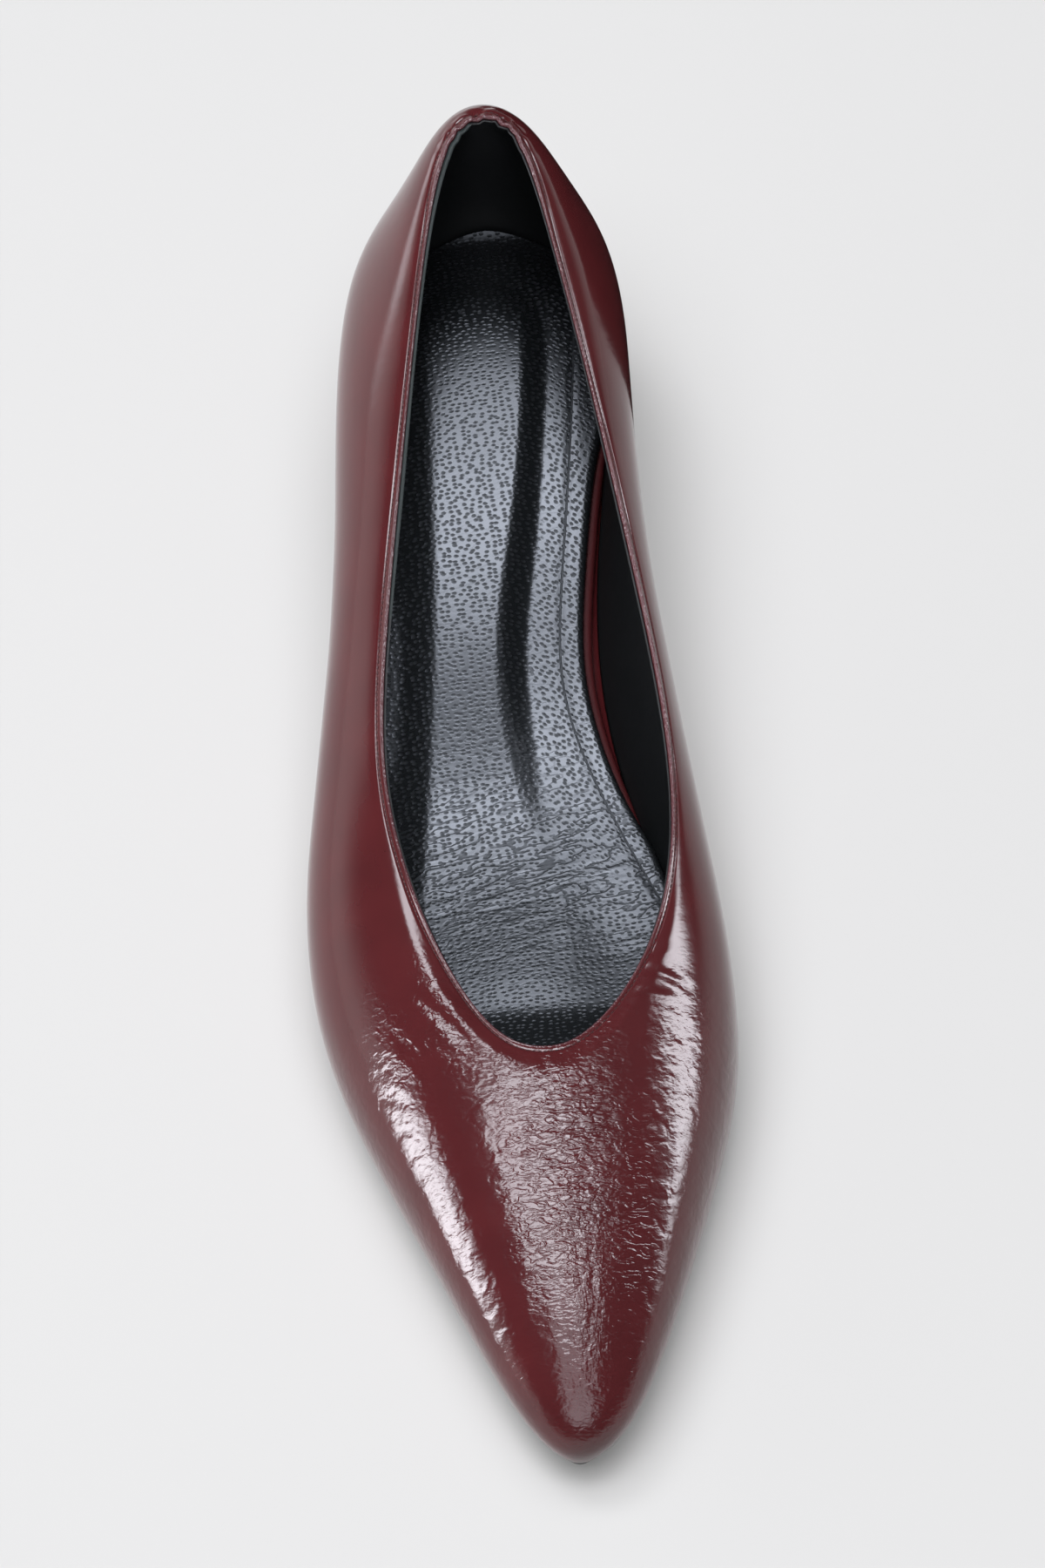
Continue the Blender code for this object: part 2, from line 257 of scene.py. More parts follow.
# A mound's columns: its middle in shoe millimetres, its half length, its half width and its height
Mound = namedtuple("Mound", "along across length width height")

# The sock's domed ball and the dent beside it on the medial side
SOCK_MOUNDS = (
    Mound(156, -4, 22, 18, 1.2),
    Mound(157, 15, 12, 9, -0.7),
)

# A lamp's columns: its place and what it faces, in metres, or DOWN for what lies straight below it, its width
# and height, its turn about its own axis in degrees, the share of its panel over which each edge fades, its
# radiance, where the floor is about 0.8, whether glossy leather mirrors it, and the group that it lights, or
# None where it lights everything. No two hang at one height, so that a ray meets them one by one.
Lamp = namedtuple("Lamp", "place faces width height turn edge radiance mirrored lights")

# What a lamp may face, and the groups that one may light
DOWN = None
SHOE = (0, 0, 0.02)
ALL_BUT_PAPER = "all_but_paper"
ALL_BUT_SOCK = "all_but_sock"
SOCK_ALONE = "sock_alone"

LAMPS = {
    "overhead_softbox": Lamp((-0.17, -0.10, 1.50), DOWN, 0.72, 0.40, 0, 0.14, 9.2, True, ALL_BUT_SOCK),
    "overhead_side": Lamp((0.21, -0.20, 1.53), DOWN, 0.64, 0.66, 0, 0.30, 2.9, True, ALL_BUT_SOCK),
    "overhead_lateral": Lamp((-0.40, 0.42, 1.47), DOWN, 0.62, 0.46, 0, 0.30, 9.0, True, ALL_BUT_SOCK),
    "overhead_front": Lamp((-0.03, -0.62, 1.56), DOWN, 1.10, 0.96, 0, 0.36, 1.9, True, None),
    "overhead_back": Lamp((0.06, 0.305, 1.44), DOWN, 0.95, 0.92, 0, 0.25, 7.2, True, SOCK_ALONE),
    "overhead_ridge": Lamp((0.06, 0.045, 1.41), DOWN, 0.95, 0.36, 0, 0.35, 8.6, True, SOCK_ALONE),
    "lateral_strip": Lamp((-1.12, -0.18, 0.36), SHOE, 0.36, 1.00, 4, 0.36, 15.0, True, ALL_BUT_PAPER),
    "lateral_back": Lamp(
        (-0.95, 0.74, 0.20), (0, 0.09, 0.06), 0.45, 0.42, 0, 0.40, 2.6, True, ALL_BUT_PAPER
    ),
    "medial_softbox": Lamp((1.03, 0.07, 0.65), SHOE, 0.30, 1.50, -20, 0.30, 11.5, True, ALL_BUT_PAPER),
    "toe_light": Lamp((0.03, -0.88, 0.80), SHOE, 1.00, 1.00, 0, 0.42, 2.2, True, ALL_BUT_PAPER),
    "lateral_fill": Lamp(
        (-1.20, 0.30, 0.45), (0, 0, 0.04), 1.60, 0.80, 0, 0.20, 7.0, False, ALL_BUT_PAPER
    ),
    "ceiling_fill": Lamp((-0.30, 0.00, 2.20), DOWN, 2.60, 2.60, 0, 0.20, 3.6, False, None),
}

# Mesh fineness
WALL_ROWS = 180
UPPER_COLUMNS = 560
UPPER_ROWS = 90
BACK_ROWS = 16
LINING_COLUMNS = 360
LINING_ROWS = 48
PLATE_ROWS = 240
PLATE_ACROSS = 110
SOLE_ROWS = 110
SOLE_ACROSS = 20
HEEL_POINTS = 160
HEEL_LEVELS = 40

# Rows that draw the hem and the edge of the lining, by their distance below the topline in millimetres
HEM_ROWS = (
    0.6, 0.75, 0.9, 1.0, 1.1, 1.25, 1.4, 1.55, 1.7, 1.9, 2.2,
    2.5, 2.75, 3.0, 3.3, 3.6, 3.9, 4.2, 4.5, 4.8, 5.2, 5.8,
)
LINING_EDGE_ROWS = (1.0, 1.5, 2.0, 2.6, 3.4, 4.4, 5.6, 7.0)

# Edges sharper than this, in radians, are shaded as edges on the sole and heel
SHARP_ANGLE = 0.9


def linear(code):
    """Linear colour of an sRGB hex code."""
    parts = [int(code[i:i + 2], 16) / 255 for i in (1, 3, 5)]
    return tuple(p / 12.92 if p <= 0.04045 else ((p + 0.055) / 1.055)**2.4 for p in parts)


# Kinds of property that the groups below repeat
LengthProperty = partial(FloatProperty, unit="LENGTH")
LevelProperty = partial(FloatProperty, min=0.0)
PlaceProperty = partial(FloatVectorProperty, subtype="TRANSLATION")
ColourProperty = partial(FloatVectorProperty, subtype="COLOR", min=0, max=1)


class PumpSizes(bpy.types.PropertyGroup):
    """Sizes of what is laid over the solids."""

    fold: LengthProperty(name="Fold", description="Radius of the folded topline", default=0.56 * MM)
    turning: LengthProperty(
        name="Turning", description="Leather turned down inside the topline", default=2.6 * MM
    )
    groove: LengthProperty(
        name="Groove", description="Distance of the stitched groove below the topline", default=1.4 * MM
    )
    hem: LengthProperty(
        name="Hem", description="Width of the folded hem outside the topline", default=3.2 * MM
    )
    throat_hem: LengthProperty(name="Throat hem", description="The same at the throat", default=4.6 * MM)
    hem_lean: LevelProperty(
        name="Hem lean", description="Fall of the hem towards the topline, per length", default=0.12
    )
    throat_lean: LevelProperty(
        name="Throat lean", description="Fall of the throat's hem, per length", default=0.27
    )
    lining: LengthProperty(name="Lining", description="Thickness of the lining leather", default=0.45 * MM)
    crease_depth: LevelProperty(
        name="Crease depth", description="Share of each crease's own depth", default=1.0, max=2.0
    )
    pad: LengthProperty(name="Pad", description="Rise of the sock above its solid", default=0.3 * MM)
    rim: LengthProperty(
        name="Rim", description="Insole that shows beside the sock at the waist", default=1.7 * MM
    )
    stitch_pitch: LengthProperty(
        name="Stitch pitch", description="Spacing of the stitches", default=1.1 * MM
    )
    stitch_length: LengthProperty(
        name="Stitch length", description="Length of one stitch", default=0.75 * MM
    )
    thread: LengthProperty(name="Thread", description="Thickness of the sewing thread", default=0.24 * MM)


class PumpColours(bpy.types.PropertyGroup):
    """Colours of the leathers, threads and sole."""

    burgundy: ColourProperty(name="Burgundy", description="Patent leather", default=linear("#431618"))
    burgundy_deep: ColourProperty(
        name="Deep burgundy", description="Darker clouds in it", default=linear("#361113")
    )
    # Paler burgundy painted along the fold's crest as its highlight
    burgundy_bead_highlight: ColourProperty(
        name="Bead highlight burgundy", description="Folded edge, painted paler as its highlight", default=linear("#4a2c2f")
    )
    thread: ColourProperty(name="Thread", description="Topline thread", default=linear("#2a0f10"))
    lining: ColourProperty(name="Lining", description="Lining leather", default=linear("#0e1011"))
    lining_edge: ColourProperty(
        name="Lining edge", description="Cut edge of the lining", default=linear("#222c2b")
    )
    sock: ColourProperty(name="Sock", description="Milled sock leather", default=linear("#0c0e0f"))
    sock_glaze: ColourProperty(
        name="Sock glaze", description="Cool shine of the glazed grain", default=linear("#eaf2fc")
    )
    sole: ColourProperty(name="Sole", description="Sole and its edge", default=linear("#1b1818"))
    lift: ColourProperty(name="Top lift", description="Heel tip", default=linear("#141313"))
    floor: ColourProperty(name="Floor", description="Paper floor", default=linear("#c1c1bd"))


class PumpStage(bpy.types.PropertyGroup):
    """Camera and light."""

    camera_place: PlaceProperty(
        name="Camera", description="Where the camera stands", default=(-0.0074, -0.4241, 0.7765)
    )
    camera_aim: PlaceProperty(
        name="Aim", description="What the camera looks at", default=(0.0029, -0.0028, 0.0350)
    )
    camera_roll: FloatProperty(
        name="Roll", description="Turn of the picture", default=math.radians(-2.84), subtype="ANGLE"
    )
    lens: FloatProperty(
        name="Lens", description="Focal length in millimetres, on a 36 mm frame", default=101.0
    )
    light: LevelProperty(name="Light", description="Share of every lamp's radiance", default=1.0)
    fill: LevelProperty(name="Fill", description="Radiance of the dim room around the lamps", default=0.08)
    wall: LevelProperty(
        name="Wall", description="Radiance of the pale wall on the lateral side", default=1.0
    )
    glow: LevelProperty(
        name="Glow", description="Radiance of the paper where no lamp reaches it", default=0.11
    )
    horizon: LevelProperty(
        name="Horizon", description="Radiance of the room where it meets the paper", default=0.62
    )
    lamp_colour: ColourProperty(
        name="Lamp colour", description="Tint of every lamp", default=linear("#f8f8ff")
    )


# Curves and surfaces of the last

def spline_weights(places):
    """Cubic B-spline: whole part of each place and the weights of the four controls about it."""
    t = places % 1
    weights = [(1 - t)**3, 3 * t**3 - 6 * t**2 + 4, 1 + 3 * t + 3 * t**2 - 3 * t**3, t**3]
    return np.floor(places).astype(int), np.stack(weights, axis=1) / 6


def soft_loop(controls, places):
    """Closed curve that follows a ring of controls, read at places counted in controls."""
    whole, weights = spline_weights(places)
    four = (whole[:, None] + np.arange(-1, 3)) % len(controls)
    return np.einsum("ij,ij...->i...", weights, controls[four])


def soft_line(controls, places):
    """Open curve that follows a row of controls from the first to the last, both of which it meets."""
    before = 2 * controls[:1] - controls[1:2]
    after = 2 * controls[-1:] - controls[-2:-1]
    run = np.concatenate([before, controls, after, after])
    whole, weights = spline_weights(places)
    four = whole[:, None] + np.arange(4)
    return np.einsum("ij,ij...->i...", weights, run[four])


def smooth(value, start, end):
    """0 at start, 1 at end, with soft ends."""
    t = np.clip((value - start) / (end - start), 0, 1)
    return t * t * (3 - 2 * t)


def between(value, start, full, last, end):
    """0 before a start, 1 from full to last, and 0 again past an end."""
    return smooth(value, start, full) * smooth(value, end, last)


def hump(value, middle, spread, power=2):
    """1 at a middle, falling off over a spread on both sides. A higher even power is flatter on top."""
    return np.exp(-((value - middle) / spread)**power)


def soft_knee(value, bend):
    """0 below 0 and the value itself above it, with a soft bend between them."""
    return bend * np.logaddexp(0, value / bend)


def bottom(along):
    """Height of the upper's underside: level seat, arch down to the tread, toe spring."""
    arch = np.clip((along - SEAT_END) / (TREAD_START - SEAT_END), 0, 1)
    spring = np.clip((along - TREAD_END) / (LENGTH - TREAD_END), 0, None)
    fall = 1 - arch**3 * (10 - 15 * arch + 6 * arch**2)
    return FLOOR_STACK + (HEEL_HEIGHT - FLOOR_STACK) * fall + TOE_SPRING * spring**3


def both_sides(lateral, medial):
    """Joins a lateral run, heel to toe, and a medial one into one loop."""
    return np.concatenate([lateral, medial[-2:0:-1]])


def ring_controls(ring):
    """The ring's sections as a loop of (along, across, rise), lateral side first."""
    along, lateral, medial, rise = np.array(ring).T
    along = along * LENGTH / 100
    rise = rise * INSTEP / 100
    outer = np.stack([along, -lateral * BALL_WIDTH / 100, rise], axis=1)
    inner = np.stack([along, medial * BALL_WIDTH / 100, rise], axis=1)
    return both_sides(outer, inner)


def last_surface(turns, levels):
    """Outer face of the upper as (along, across, height): level 0 is the feather line, 4 the topline."""
    rings = np.stack([soft_loop(ring_controls(ring), turns) for ring in RINGS])
    surface = soft_line(rings, levels)
    surface[..., 2] += bottom(surface[..., 0])
    return surface


def unit(vectors):
    """The vectors, each brought to a length of 1."""
    return vectors / np.linalg.norm(vectors, axis=-1, keepdims=True)


def outward(surface):
    """Unit normals of a surface of closed rows."""
    around = np.roll(surface, -1, axis=1) - np.roll(surface, 1, axis=1)
    up = np.gradient(surface, axis=0)
    return unit(np.cross(around, up))


def last_middle():
    """Middle of the last's box, sampled as the solids sample it."""
    side_points = 46
    levels = 17
    side = np.linspace(0, TOE_TURN, side_points)
    face = last_surface(both_sides(side, FULL_TURN - side), np.linspace(0, TOP_LEVEL, levels))
    return (face.min(axis=(0, 1)) + face.max(axis=(0, 1))) / 2


MIDDLE = last_middle()


def place(points):
    """Shoe millimetres (along, across, height) to metres in the model's frame."""
    along, across, height = np.moveaxis(np.asarray(points), -1, 0)
    return np.stack([across - MIDDLE[1], MIDDLE[0] - along, height], axis=-1) * MM


def run_length(points):
    """Distance of each point from the first one along its line, or along its column of rows."""
    steps = np.linalg.norm(np.diff(points, axis=0), axis=-1)
    return np.concatenate([np.zeros((1, *steps.shape[1:])), np.cumsum(steps, axis=0)])


def even_turns(count):
    """Turns that stand evenly round the shoe where it is widest."""
    fine = np.linspace(0, FULL_TURN, 2000)
    run = run_length(last_surface(fine, np.array([WIDEST_LEVEL]))[0])
    return np.interp(np.linspace(0, run[-1], count, endpoint=False), run, fine)


Wall = namedtuple("Wall", "points normals run")


def wall_columns(turns):
    """Fine columns of the outer face, topline first, and how far each point lies from the topline."""
    sizes = bpy.context.scene.pump_sizes
    surface = last_surface(turns, np.linspace(0, TOP_LEVEL, WALL_ROWS + 1))
    run = run_length(surface[::-1])[::-1]
    throat = smooth(surface[..., 0], *THROAT)
    lean = sizes.hem_lean + (sizes.throat_lean - sizes.hem_lean) * throat
    width = (sizes.hem + (sizes.throat_hem - sizes.hem) * throat) / MM
    stand = heel_pucker(surface, run) - hem_fall(run, width, lean)
    surface = surface + stand[..., None] * outward(surface)
    points = surface[::-1]
    return Wall(points, outward(surface)[::-1], run_length(points))


def hem_fall(run, width, lean):
    """How far the folded hem falls in from the last: an even lean below a soft knee."""
    bend = 0.45
    return lean * soft_knee(width - run, bend)


def heel_pucker(points, run):
    """Unevenness of the topline at the back of the heel, where the fold is gathered round its tight bend."""
    height = 0.9
    reach = 3.0
    lump = 1.8
    near = smooth(points[..., 0], 18, 6) * hump(run, 0, reach)
    lumps = np.zeros(run.shape)
    for row, column in np.argwhere(near > 0.01):
        lumps[row, column] = noise.noise(Vector(points[row, column] / lump))
    return height * near * lumps


def on_wall(wall, distances):
    """Points and normals at distances below the topline, given for each row and column."""
    points = np.empty((*distances.shape, 3))
    normals = np.empty_like(points)
    for column in range(distances.shape[1]):
        for axis in range(3):
            run = wall.run[:, column]
            points[:, column, axis] = np.interp(distances[:, column], run, wall.points[:, column, axis])
            normals[:, column, axis] = np.interp(distances[:, column], run, wall.normals[:, column, axis])
    return points, unit(normals)


def wall_line(turns, rise, clearance):
    """Plan of the upper's wall at a rise above the bottom curve, moved in by a clearance."""
    levels = 40
    surface = last_surface(turns, np.linspace(0, WIDEST_LEVEL, levels))
    inside = surface - clearance * outward(surface)
    line = np.empty((len(turns), 2))
    for column in range(len(turns)):
        points = inside[:, column]
        rises = points[:, 2] - bottom(points[:, 0])
        line[column] = [np.interp(rise, rises, points[:, axis]) for axis in (0, 1)]
    return line


def feather_line(turns, inset):
    """Plan of the feather line, moved in by an inset."""
    nudge = 0.01
    controls = ring_controls(FEATHER_RING)[:, :2]
    here = soft_loop(controls, turns)
    tangent = unit(soft_loop(controls, turns + nudge) - soft_loop(controls, turns - nudge))
    inward = np.stack([-tangent[:, 1], tangent[:, 0]], axis=1)
    return here + inset * inward


def turn_at(along, inset, medial):
    """Turn at which the inset feather line passes a place along the shoe, on one side."""
    turns = np.linspace(0, TOE_TURN / 2, 400)
    line = feather_line(FULL_TURN - turns if medial else turns, inset)
    return np.interp(along, line[:, 0], turns)


def side_lines(start, end, rows, inset):
    """Lateral and medial feather line between two places along the shoe, each a run of rows."""
    lines = []
    for medial in (False, True):
        first = 0.0 if start is None else turn_at(start, inset, medial)
        last = TOE_TURN if end is None else turn_at(end, inset, medial)
        turns = np.linspace(first, last, rows + 1)
        lines.append(feather_line(FULL_TURN - turns if medial else turns, inset))
    return lines


def sock_line(line, along):
    """Place across the shoe of a soft line through sock points."""
    fine = soft_line(np.array(line, float), np.linspace(0, len(line) - 1, 300))
    return np.interp(along, fine[:, 0], fine[:, 1])


# Meshes

def quads(rows, columns, closed_rows, closed_columns):
    """Faces of a grid of vertices numbered row by row."""
    r = np.arange(rows if closed_rows else rows - 1)[:, None]
    c = np.arange(columns if closed_columns else columns - 1)[None, :]
    r2 = (r + 1) % rows
    c2 = (c + 1) % columns
    corners = [r * columns + c, r * columns + c2, r2 * columns + c2, r2 * columns + c]
    return np.stack(np.broadcast_arrays(*corners), axis=-1).reshape(-1, 4).tolist()


def rim(rows, columns):
    """Numbers of a grid's outer vertices, once round."""
    first = list(range(columns))
    right = [r * columns + columns - 1 for r in range(1, rows)]
    last = [(rows - 1) * columns + c for c in range(columns - 2, -1, -1)]
    left = [r * columns for r in range(rows - 2, 0, -1)]
    return first + right + last + left


def block(levels):
    """Closed solid through levels of equal grids: points and faces. Only the ends are filled."""
    rows, columns = levels[0].shape[:2]
    around = rim(rows, columns)
    points = [levels[0].reshape(-1, 3)]
    loops = [np.array(around)]
    count = rows * columns
    for level in levels[1:-1]:
        points.append(level.reshape(-1, 3)[around])
        loops.append(np.arange(count, count + len(around)))
        count += len(around)
    points.append(levels[-1].reshape(-1, 3))
    loops.append(np.array(around) + count)
    ends = np.array(quads(rows, columns, False, False))
    faces = [*ends.tolist(), *(ends + count).tolist()]
    for low, high in zip(loops, loops[1:]):
        sides = [np.roll(low, 1), low, high, np.roll(high, 1)]
        faces.extend(np.stack(sides, axis=1).tolist())
    return np.concatenate(points), faces


def loft(loops):
    """Closed solid through a stack of loops, capped at both ends: points and faces."""
    count = loops.shape[1]
    faces = quads(len(loops), count, False, True)
    points = np.concatenate([loops.reshape(-1, 3), loops[:1].mean(axis=1), loops[-1:].mean(axis=1)])
    for hub, start in ((len(points) - 2, 0), (len(points) - 1, len(loops) * count - count)):
        faces.extend([hub, start + i, start + (i + 1) % count] for i in range(count))
    return points, faces


def ring_skin(rows):
    """Closed skin through rows that run round the shoe, the last joined to the first: points and faces."""
    return rows.reshape(-1, 3), quads(*rows.shape[:2], True, True)


def across_rows(lateral, medial, heights, columns):
    """Grid from rows of plan points: straight across from side to side, at a height along the shoe."""
    share = np.linspace(0, 1, columns + 1)[None, :, None]
    plan = lateral[:, None, :] * (1 - share) + medial[:, None, :] * share
    return np.concatenate([plan, heights(plan[..., :1])], axis=2)


def make_piece(name, points, faces, materials):
    """Object of a closed mesh in shoe millimetres, with its faces outwards and shaded smooth."""
    merge = 0.02 * MM
    mesh = bpy.data.meshes.new(name)
    mesh.from_pydata(place(points).tolist(), [], faces)
    shape = bmesh.new()
    shape.from_mesh(mesh)
    bmesh.ops.remove_doubles(shape, verts=shape.verts, dist=merge)
    bmesh.ops.recalc_face_normals(shape, faces=shape.faces)
    shape.to_mesh(mesh)
    shape.free()
    mesh.shade_smooth()
    for material in materials:
        mesh.materials.append(material)
    piece = bpy.data.objects.new(name, mesh)
    bpy.context.scene.collection.objects.link(piece)
    return piece


def near_line(line, reach, fade):
    """Function that gives 1 within a reach of a line of points in shoe millimetres, fading to 0 beyond it."""
    tree = KDTree(len(line))
    for number, point in enumerate(line):
        tree.insert(point, number)
    tree.balance()

    def share(points):
        far = np.array([tree.find(point)[2] for point in points])
        return smooth(far, reach + fade, reach)

    return share


def mark_share(piece, name, share):
    """Writes what a function of shoe millimetres gives, most often a share, to an attribute of a piece."""
    mesh = piece.data
    spots = np.empty(3 * len(mesh.vertices))
    mesh.vertices.foreach_get("co", spots)
    x, y, z = spots.reshape(-1, 3).T / MM
    points = np.stack([MIDDLE[0] - y, x + MIDDLE[1], z], axis=-1)
    mesh.attributes.new(name, "FLOAT", "POINT").data.foreach_set("value", share(points).astype(np.float32))


def seat(piece, node):
    """Ties a piece to the body and hides the solid that it stands for."""
    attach(piece, "root")
    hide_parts(node)


# Materials

def feed(node, inputs):
    """Sets a node's inputs. Each is a value or the socket that feeds it."""
    for key, value in inputs.items():
        if isinstance(value, bpy.types.NodeSocket):
            node.id_data.links.new(value, node.inputs[key])
        else:
            node.inputs[key].default_value = value


def add_node(tree, kind, inputs=None, **settings):
    """Adds a node with its settings and inputs."""
    made = tree.nodes.new(kind)
    for key, value in settings.items():
        setattr(made, key, value)
    feed(made, inputs or {})
    return made


def per_metre(size):
    """Texture scale whose features are about a size in millimetres."""
    return 1 / (size * MM)


def new_material(name):
    """A material with a Principled shader, its tree, the shader and the piece's own coordinates."""
    material = bpy.data.materials.new(name)
    material.use_nodes = True
    tree = material.node_tree
    spots = add_node(tree, "ShaderNodeTexCoord").outputs["Object"]
    return material, tree, tree.nodes["Principled BSDF"], spots


def fine_grain(shader, spots, size, depth, detail=2.0):
    """Gives a surface an even grain, its size and depth in millimetres, and gives back the grain's height."""
    tree = shader.id_data
    height = add_node(tree, "ShaderNodeTexNoise", {
        "Vector": spots, "Scale": per_metre(size), "Detail": detail,
    }).outputs["Fac"]
    bump = add_node(tree, "ShaderNodeBump", {"Height": height, "Distance": depth * MM, "Strength": 1.0})
    feed(shader, {"Normal": bump.outputs[0]})
    return height


def thin_lines(tree, form, width):
    """0 on the lines where a noise passes its middle value, 1 where it is a width or more away from it."""
    off = add_node(tree, "ShaderNodeMath", {0: form, 1: 0.5}, operation="SUBTRACT")
    far = add_node(tree, "ShaderNodeMath", {0: off.outputs[0]}, operation="ABSOLUTE")
    return add_node(tree, "ShaderNodeMapRange", {
        "Value": far.outputs[0], "From Max": width,
    }, interpolation_type="SMOOTHSTEP").outputs[0]


def patent_leather(colours):
    """Crinkle patent: dyed calf under a clear lacquer, shrunk so that it puckers where the foot flexes.

    The lacquer gives bright reflections, which the crinkle breaks up on the vamp and leaves whole elsewhere.
    At the folded edge its colour is painted paler along the fold's crest, a painted highlight.
    """
    name = "crinkle_patent_leather"
    if name in bpy.data.materials:
        return bpy.data.materials[name]
    material, tree, shader, spots = new_material(name)
    clouds, skin, dots = (
        add_node(tree, "ShaderNodeTexNoise", {
            "Vector": spots, "Scale": per_metre(size), "Detail": detail,
        }).outputs["Fac"]
        for size, detail in ((9, 3.0), (2.6, 2.0), (0.5, 1.0))
    )
    # The bead attribute marks the fold's crest, whose colour is painted paler there as a painted highlight,
    # with fine dots bumped into it
    bead = add_node(tree, "ShaderNodeAttribute", attribute_name="bead").outputs["Fac"]
    tint = (*colours.burgundy_deep, 1)
    for share, colour in ((clouds, colours.burgundy), (bead, colours.burgundy_bead_highlight)):
        tint = add_node(tree, "ShaderNodeMix", {
            "Factor": share, "A": tint, "B": (*colour, 1),
        }, data_type="RGBA").outputs[2]
    bead_speckle = add_node(tree, "ShaderNodeMath", {0: dots, 1: bead}, operation="MULTIPLY")
    layers = [(skin, 0.02), (bead_speckle.outputs[0], 0.2)]
    for layer in CRINKLES:
        share = add_node(tree, "ShaderNodeAttribute", attribute_name=layer.attribute).outputs["Fac"]
        drawn = add_node(tree, "ShaderNodeMapping", {"Vector": spots, "Scale": layer.squeeze})
        form = add_node(tree, "ShaderNodeTexNoise", {
            "Vector": drawn.outputs[0], "Scale": per_metre(layer.size), "Detail": 1.5, "Roughness": 0.5,
            "Distortion": layer.distortion,
        }).outputs["Fac"]
        if layer.line:
            form = thin_lines(tree, form, layer.line)
        height = add_node(tree, "ShaderNodeMath", {0: form, 1: share}, operation="MULTIPLY")
        layers.append((height.outputs[0], layer.depth))
    under = {}
    for height, depth in layers:
        bump = add_node(tree, "ShaderNodeBump", {
            "Height": height, "Distance": depth * MM, "Strength": 1.0, **under,
        })
        under = {"Normal": bump.outputs[0]}
    feed(shader, {
        "Base Color": tint, "Roughness": 0.5, "Specular IOR Level": 0.0, "Normal": bump.outputs[0],
        "Coat Weight": 1.0, "Coat Roughness": 0.13, "Coat IOR": 1.6, "Coat Normal": bump.outputs[0],
    })
    return material


def insole_leather(colours):
    """Insole cover: the upper's calf without its lacquer, pasted over the board, with a dull sheen."""
    material, tree, shader, spots = new_material("dull_burgundy_leather")
    pores = fine_grain(shader, spots, 0.8, 0.03)
    tint = add_node(tree, "ShaderNodeMix", {
        "Factor": pores, "A": (*colours.burgundy_deep, 1), "B": (*colours.burgundy, 1),
    }, data_type="RGBA")
    feed(shader, {"Base Color": tint.outputs[2], "Roughness": 0.6, "Specular IOR Level": 0.15})
    return material


def lining_leather(colours):
    """Lining kid: thin glazed black leather, smooth, with faint upright rub marks."""
    material, tree, shader, spots = new_material("black_lining_leather")
    upright = add_node(tree, "ShaderNodeMapping", {"Vector": spots, "Scale": (1.0, 1.0, 0.15)})
    rubs = add_node(tree, "ShaderNodeTexNoise", {
        "Vector": upright.outputs[0], "Scale": per_metre(3), "Detail": 3.0,
    })
    gloss = add_node(tree, "ShaderNodeMapRange", {
        "Value": rubs.outputs["Fac"], "To Min": 0.38, "To Max": 0.58,
    })
    fine_grain(shader, spots, 0.7, 0.02)
    feed(shader, {"Base Color": (*colours.lining, 1), "Roughness": gloss.outputs[0], "IOR": 1.5})
    return material


def cut_edge(colours):
    """Turned edge of the lining: grey fibres that the glaze has not reached."""
    material, tree, shader, spots = new_material("lining_cut_edge")
    fibres = add_node(tree, "ShaderNodeTexNoise", {"Vector": spots, "Scale": per_metre(0.8), "Detail": 2.0})
    dark = tuple(0.5 * part for part in colours.lining_edge)
    tint = add_node(tree, "ShaderNodeMix", {
        "Factor": fibres.outputs["Fac"], "A": (*dark, 1), "B": (*colours.lining_edge, 1),
    }, data_type="RGBA")
    feed(shader, {"Base Color": tint.outputs[2], "Roughness": 0.6})
    return material


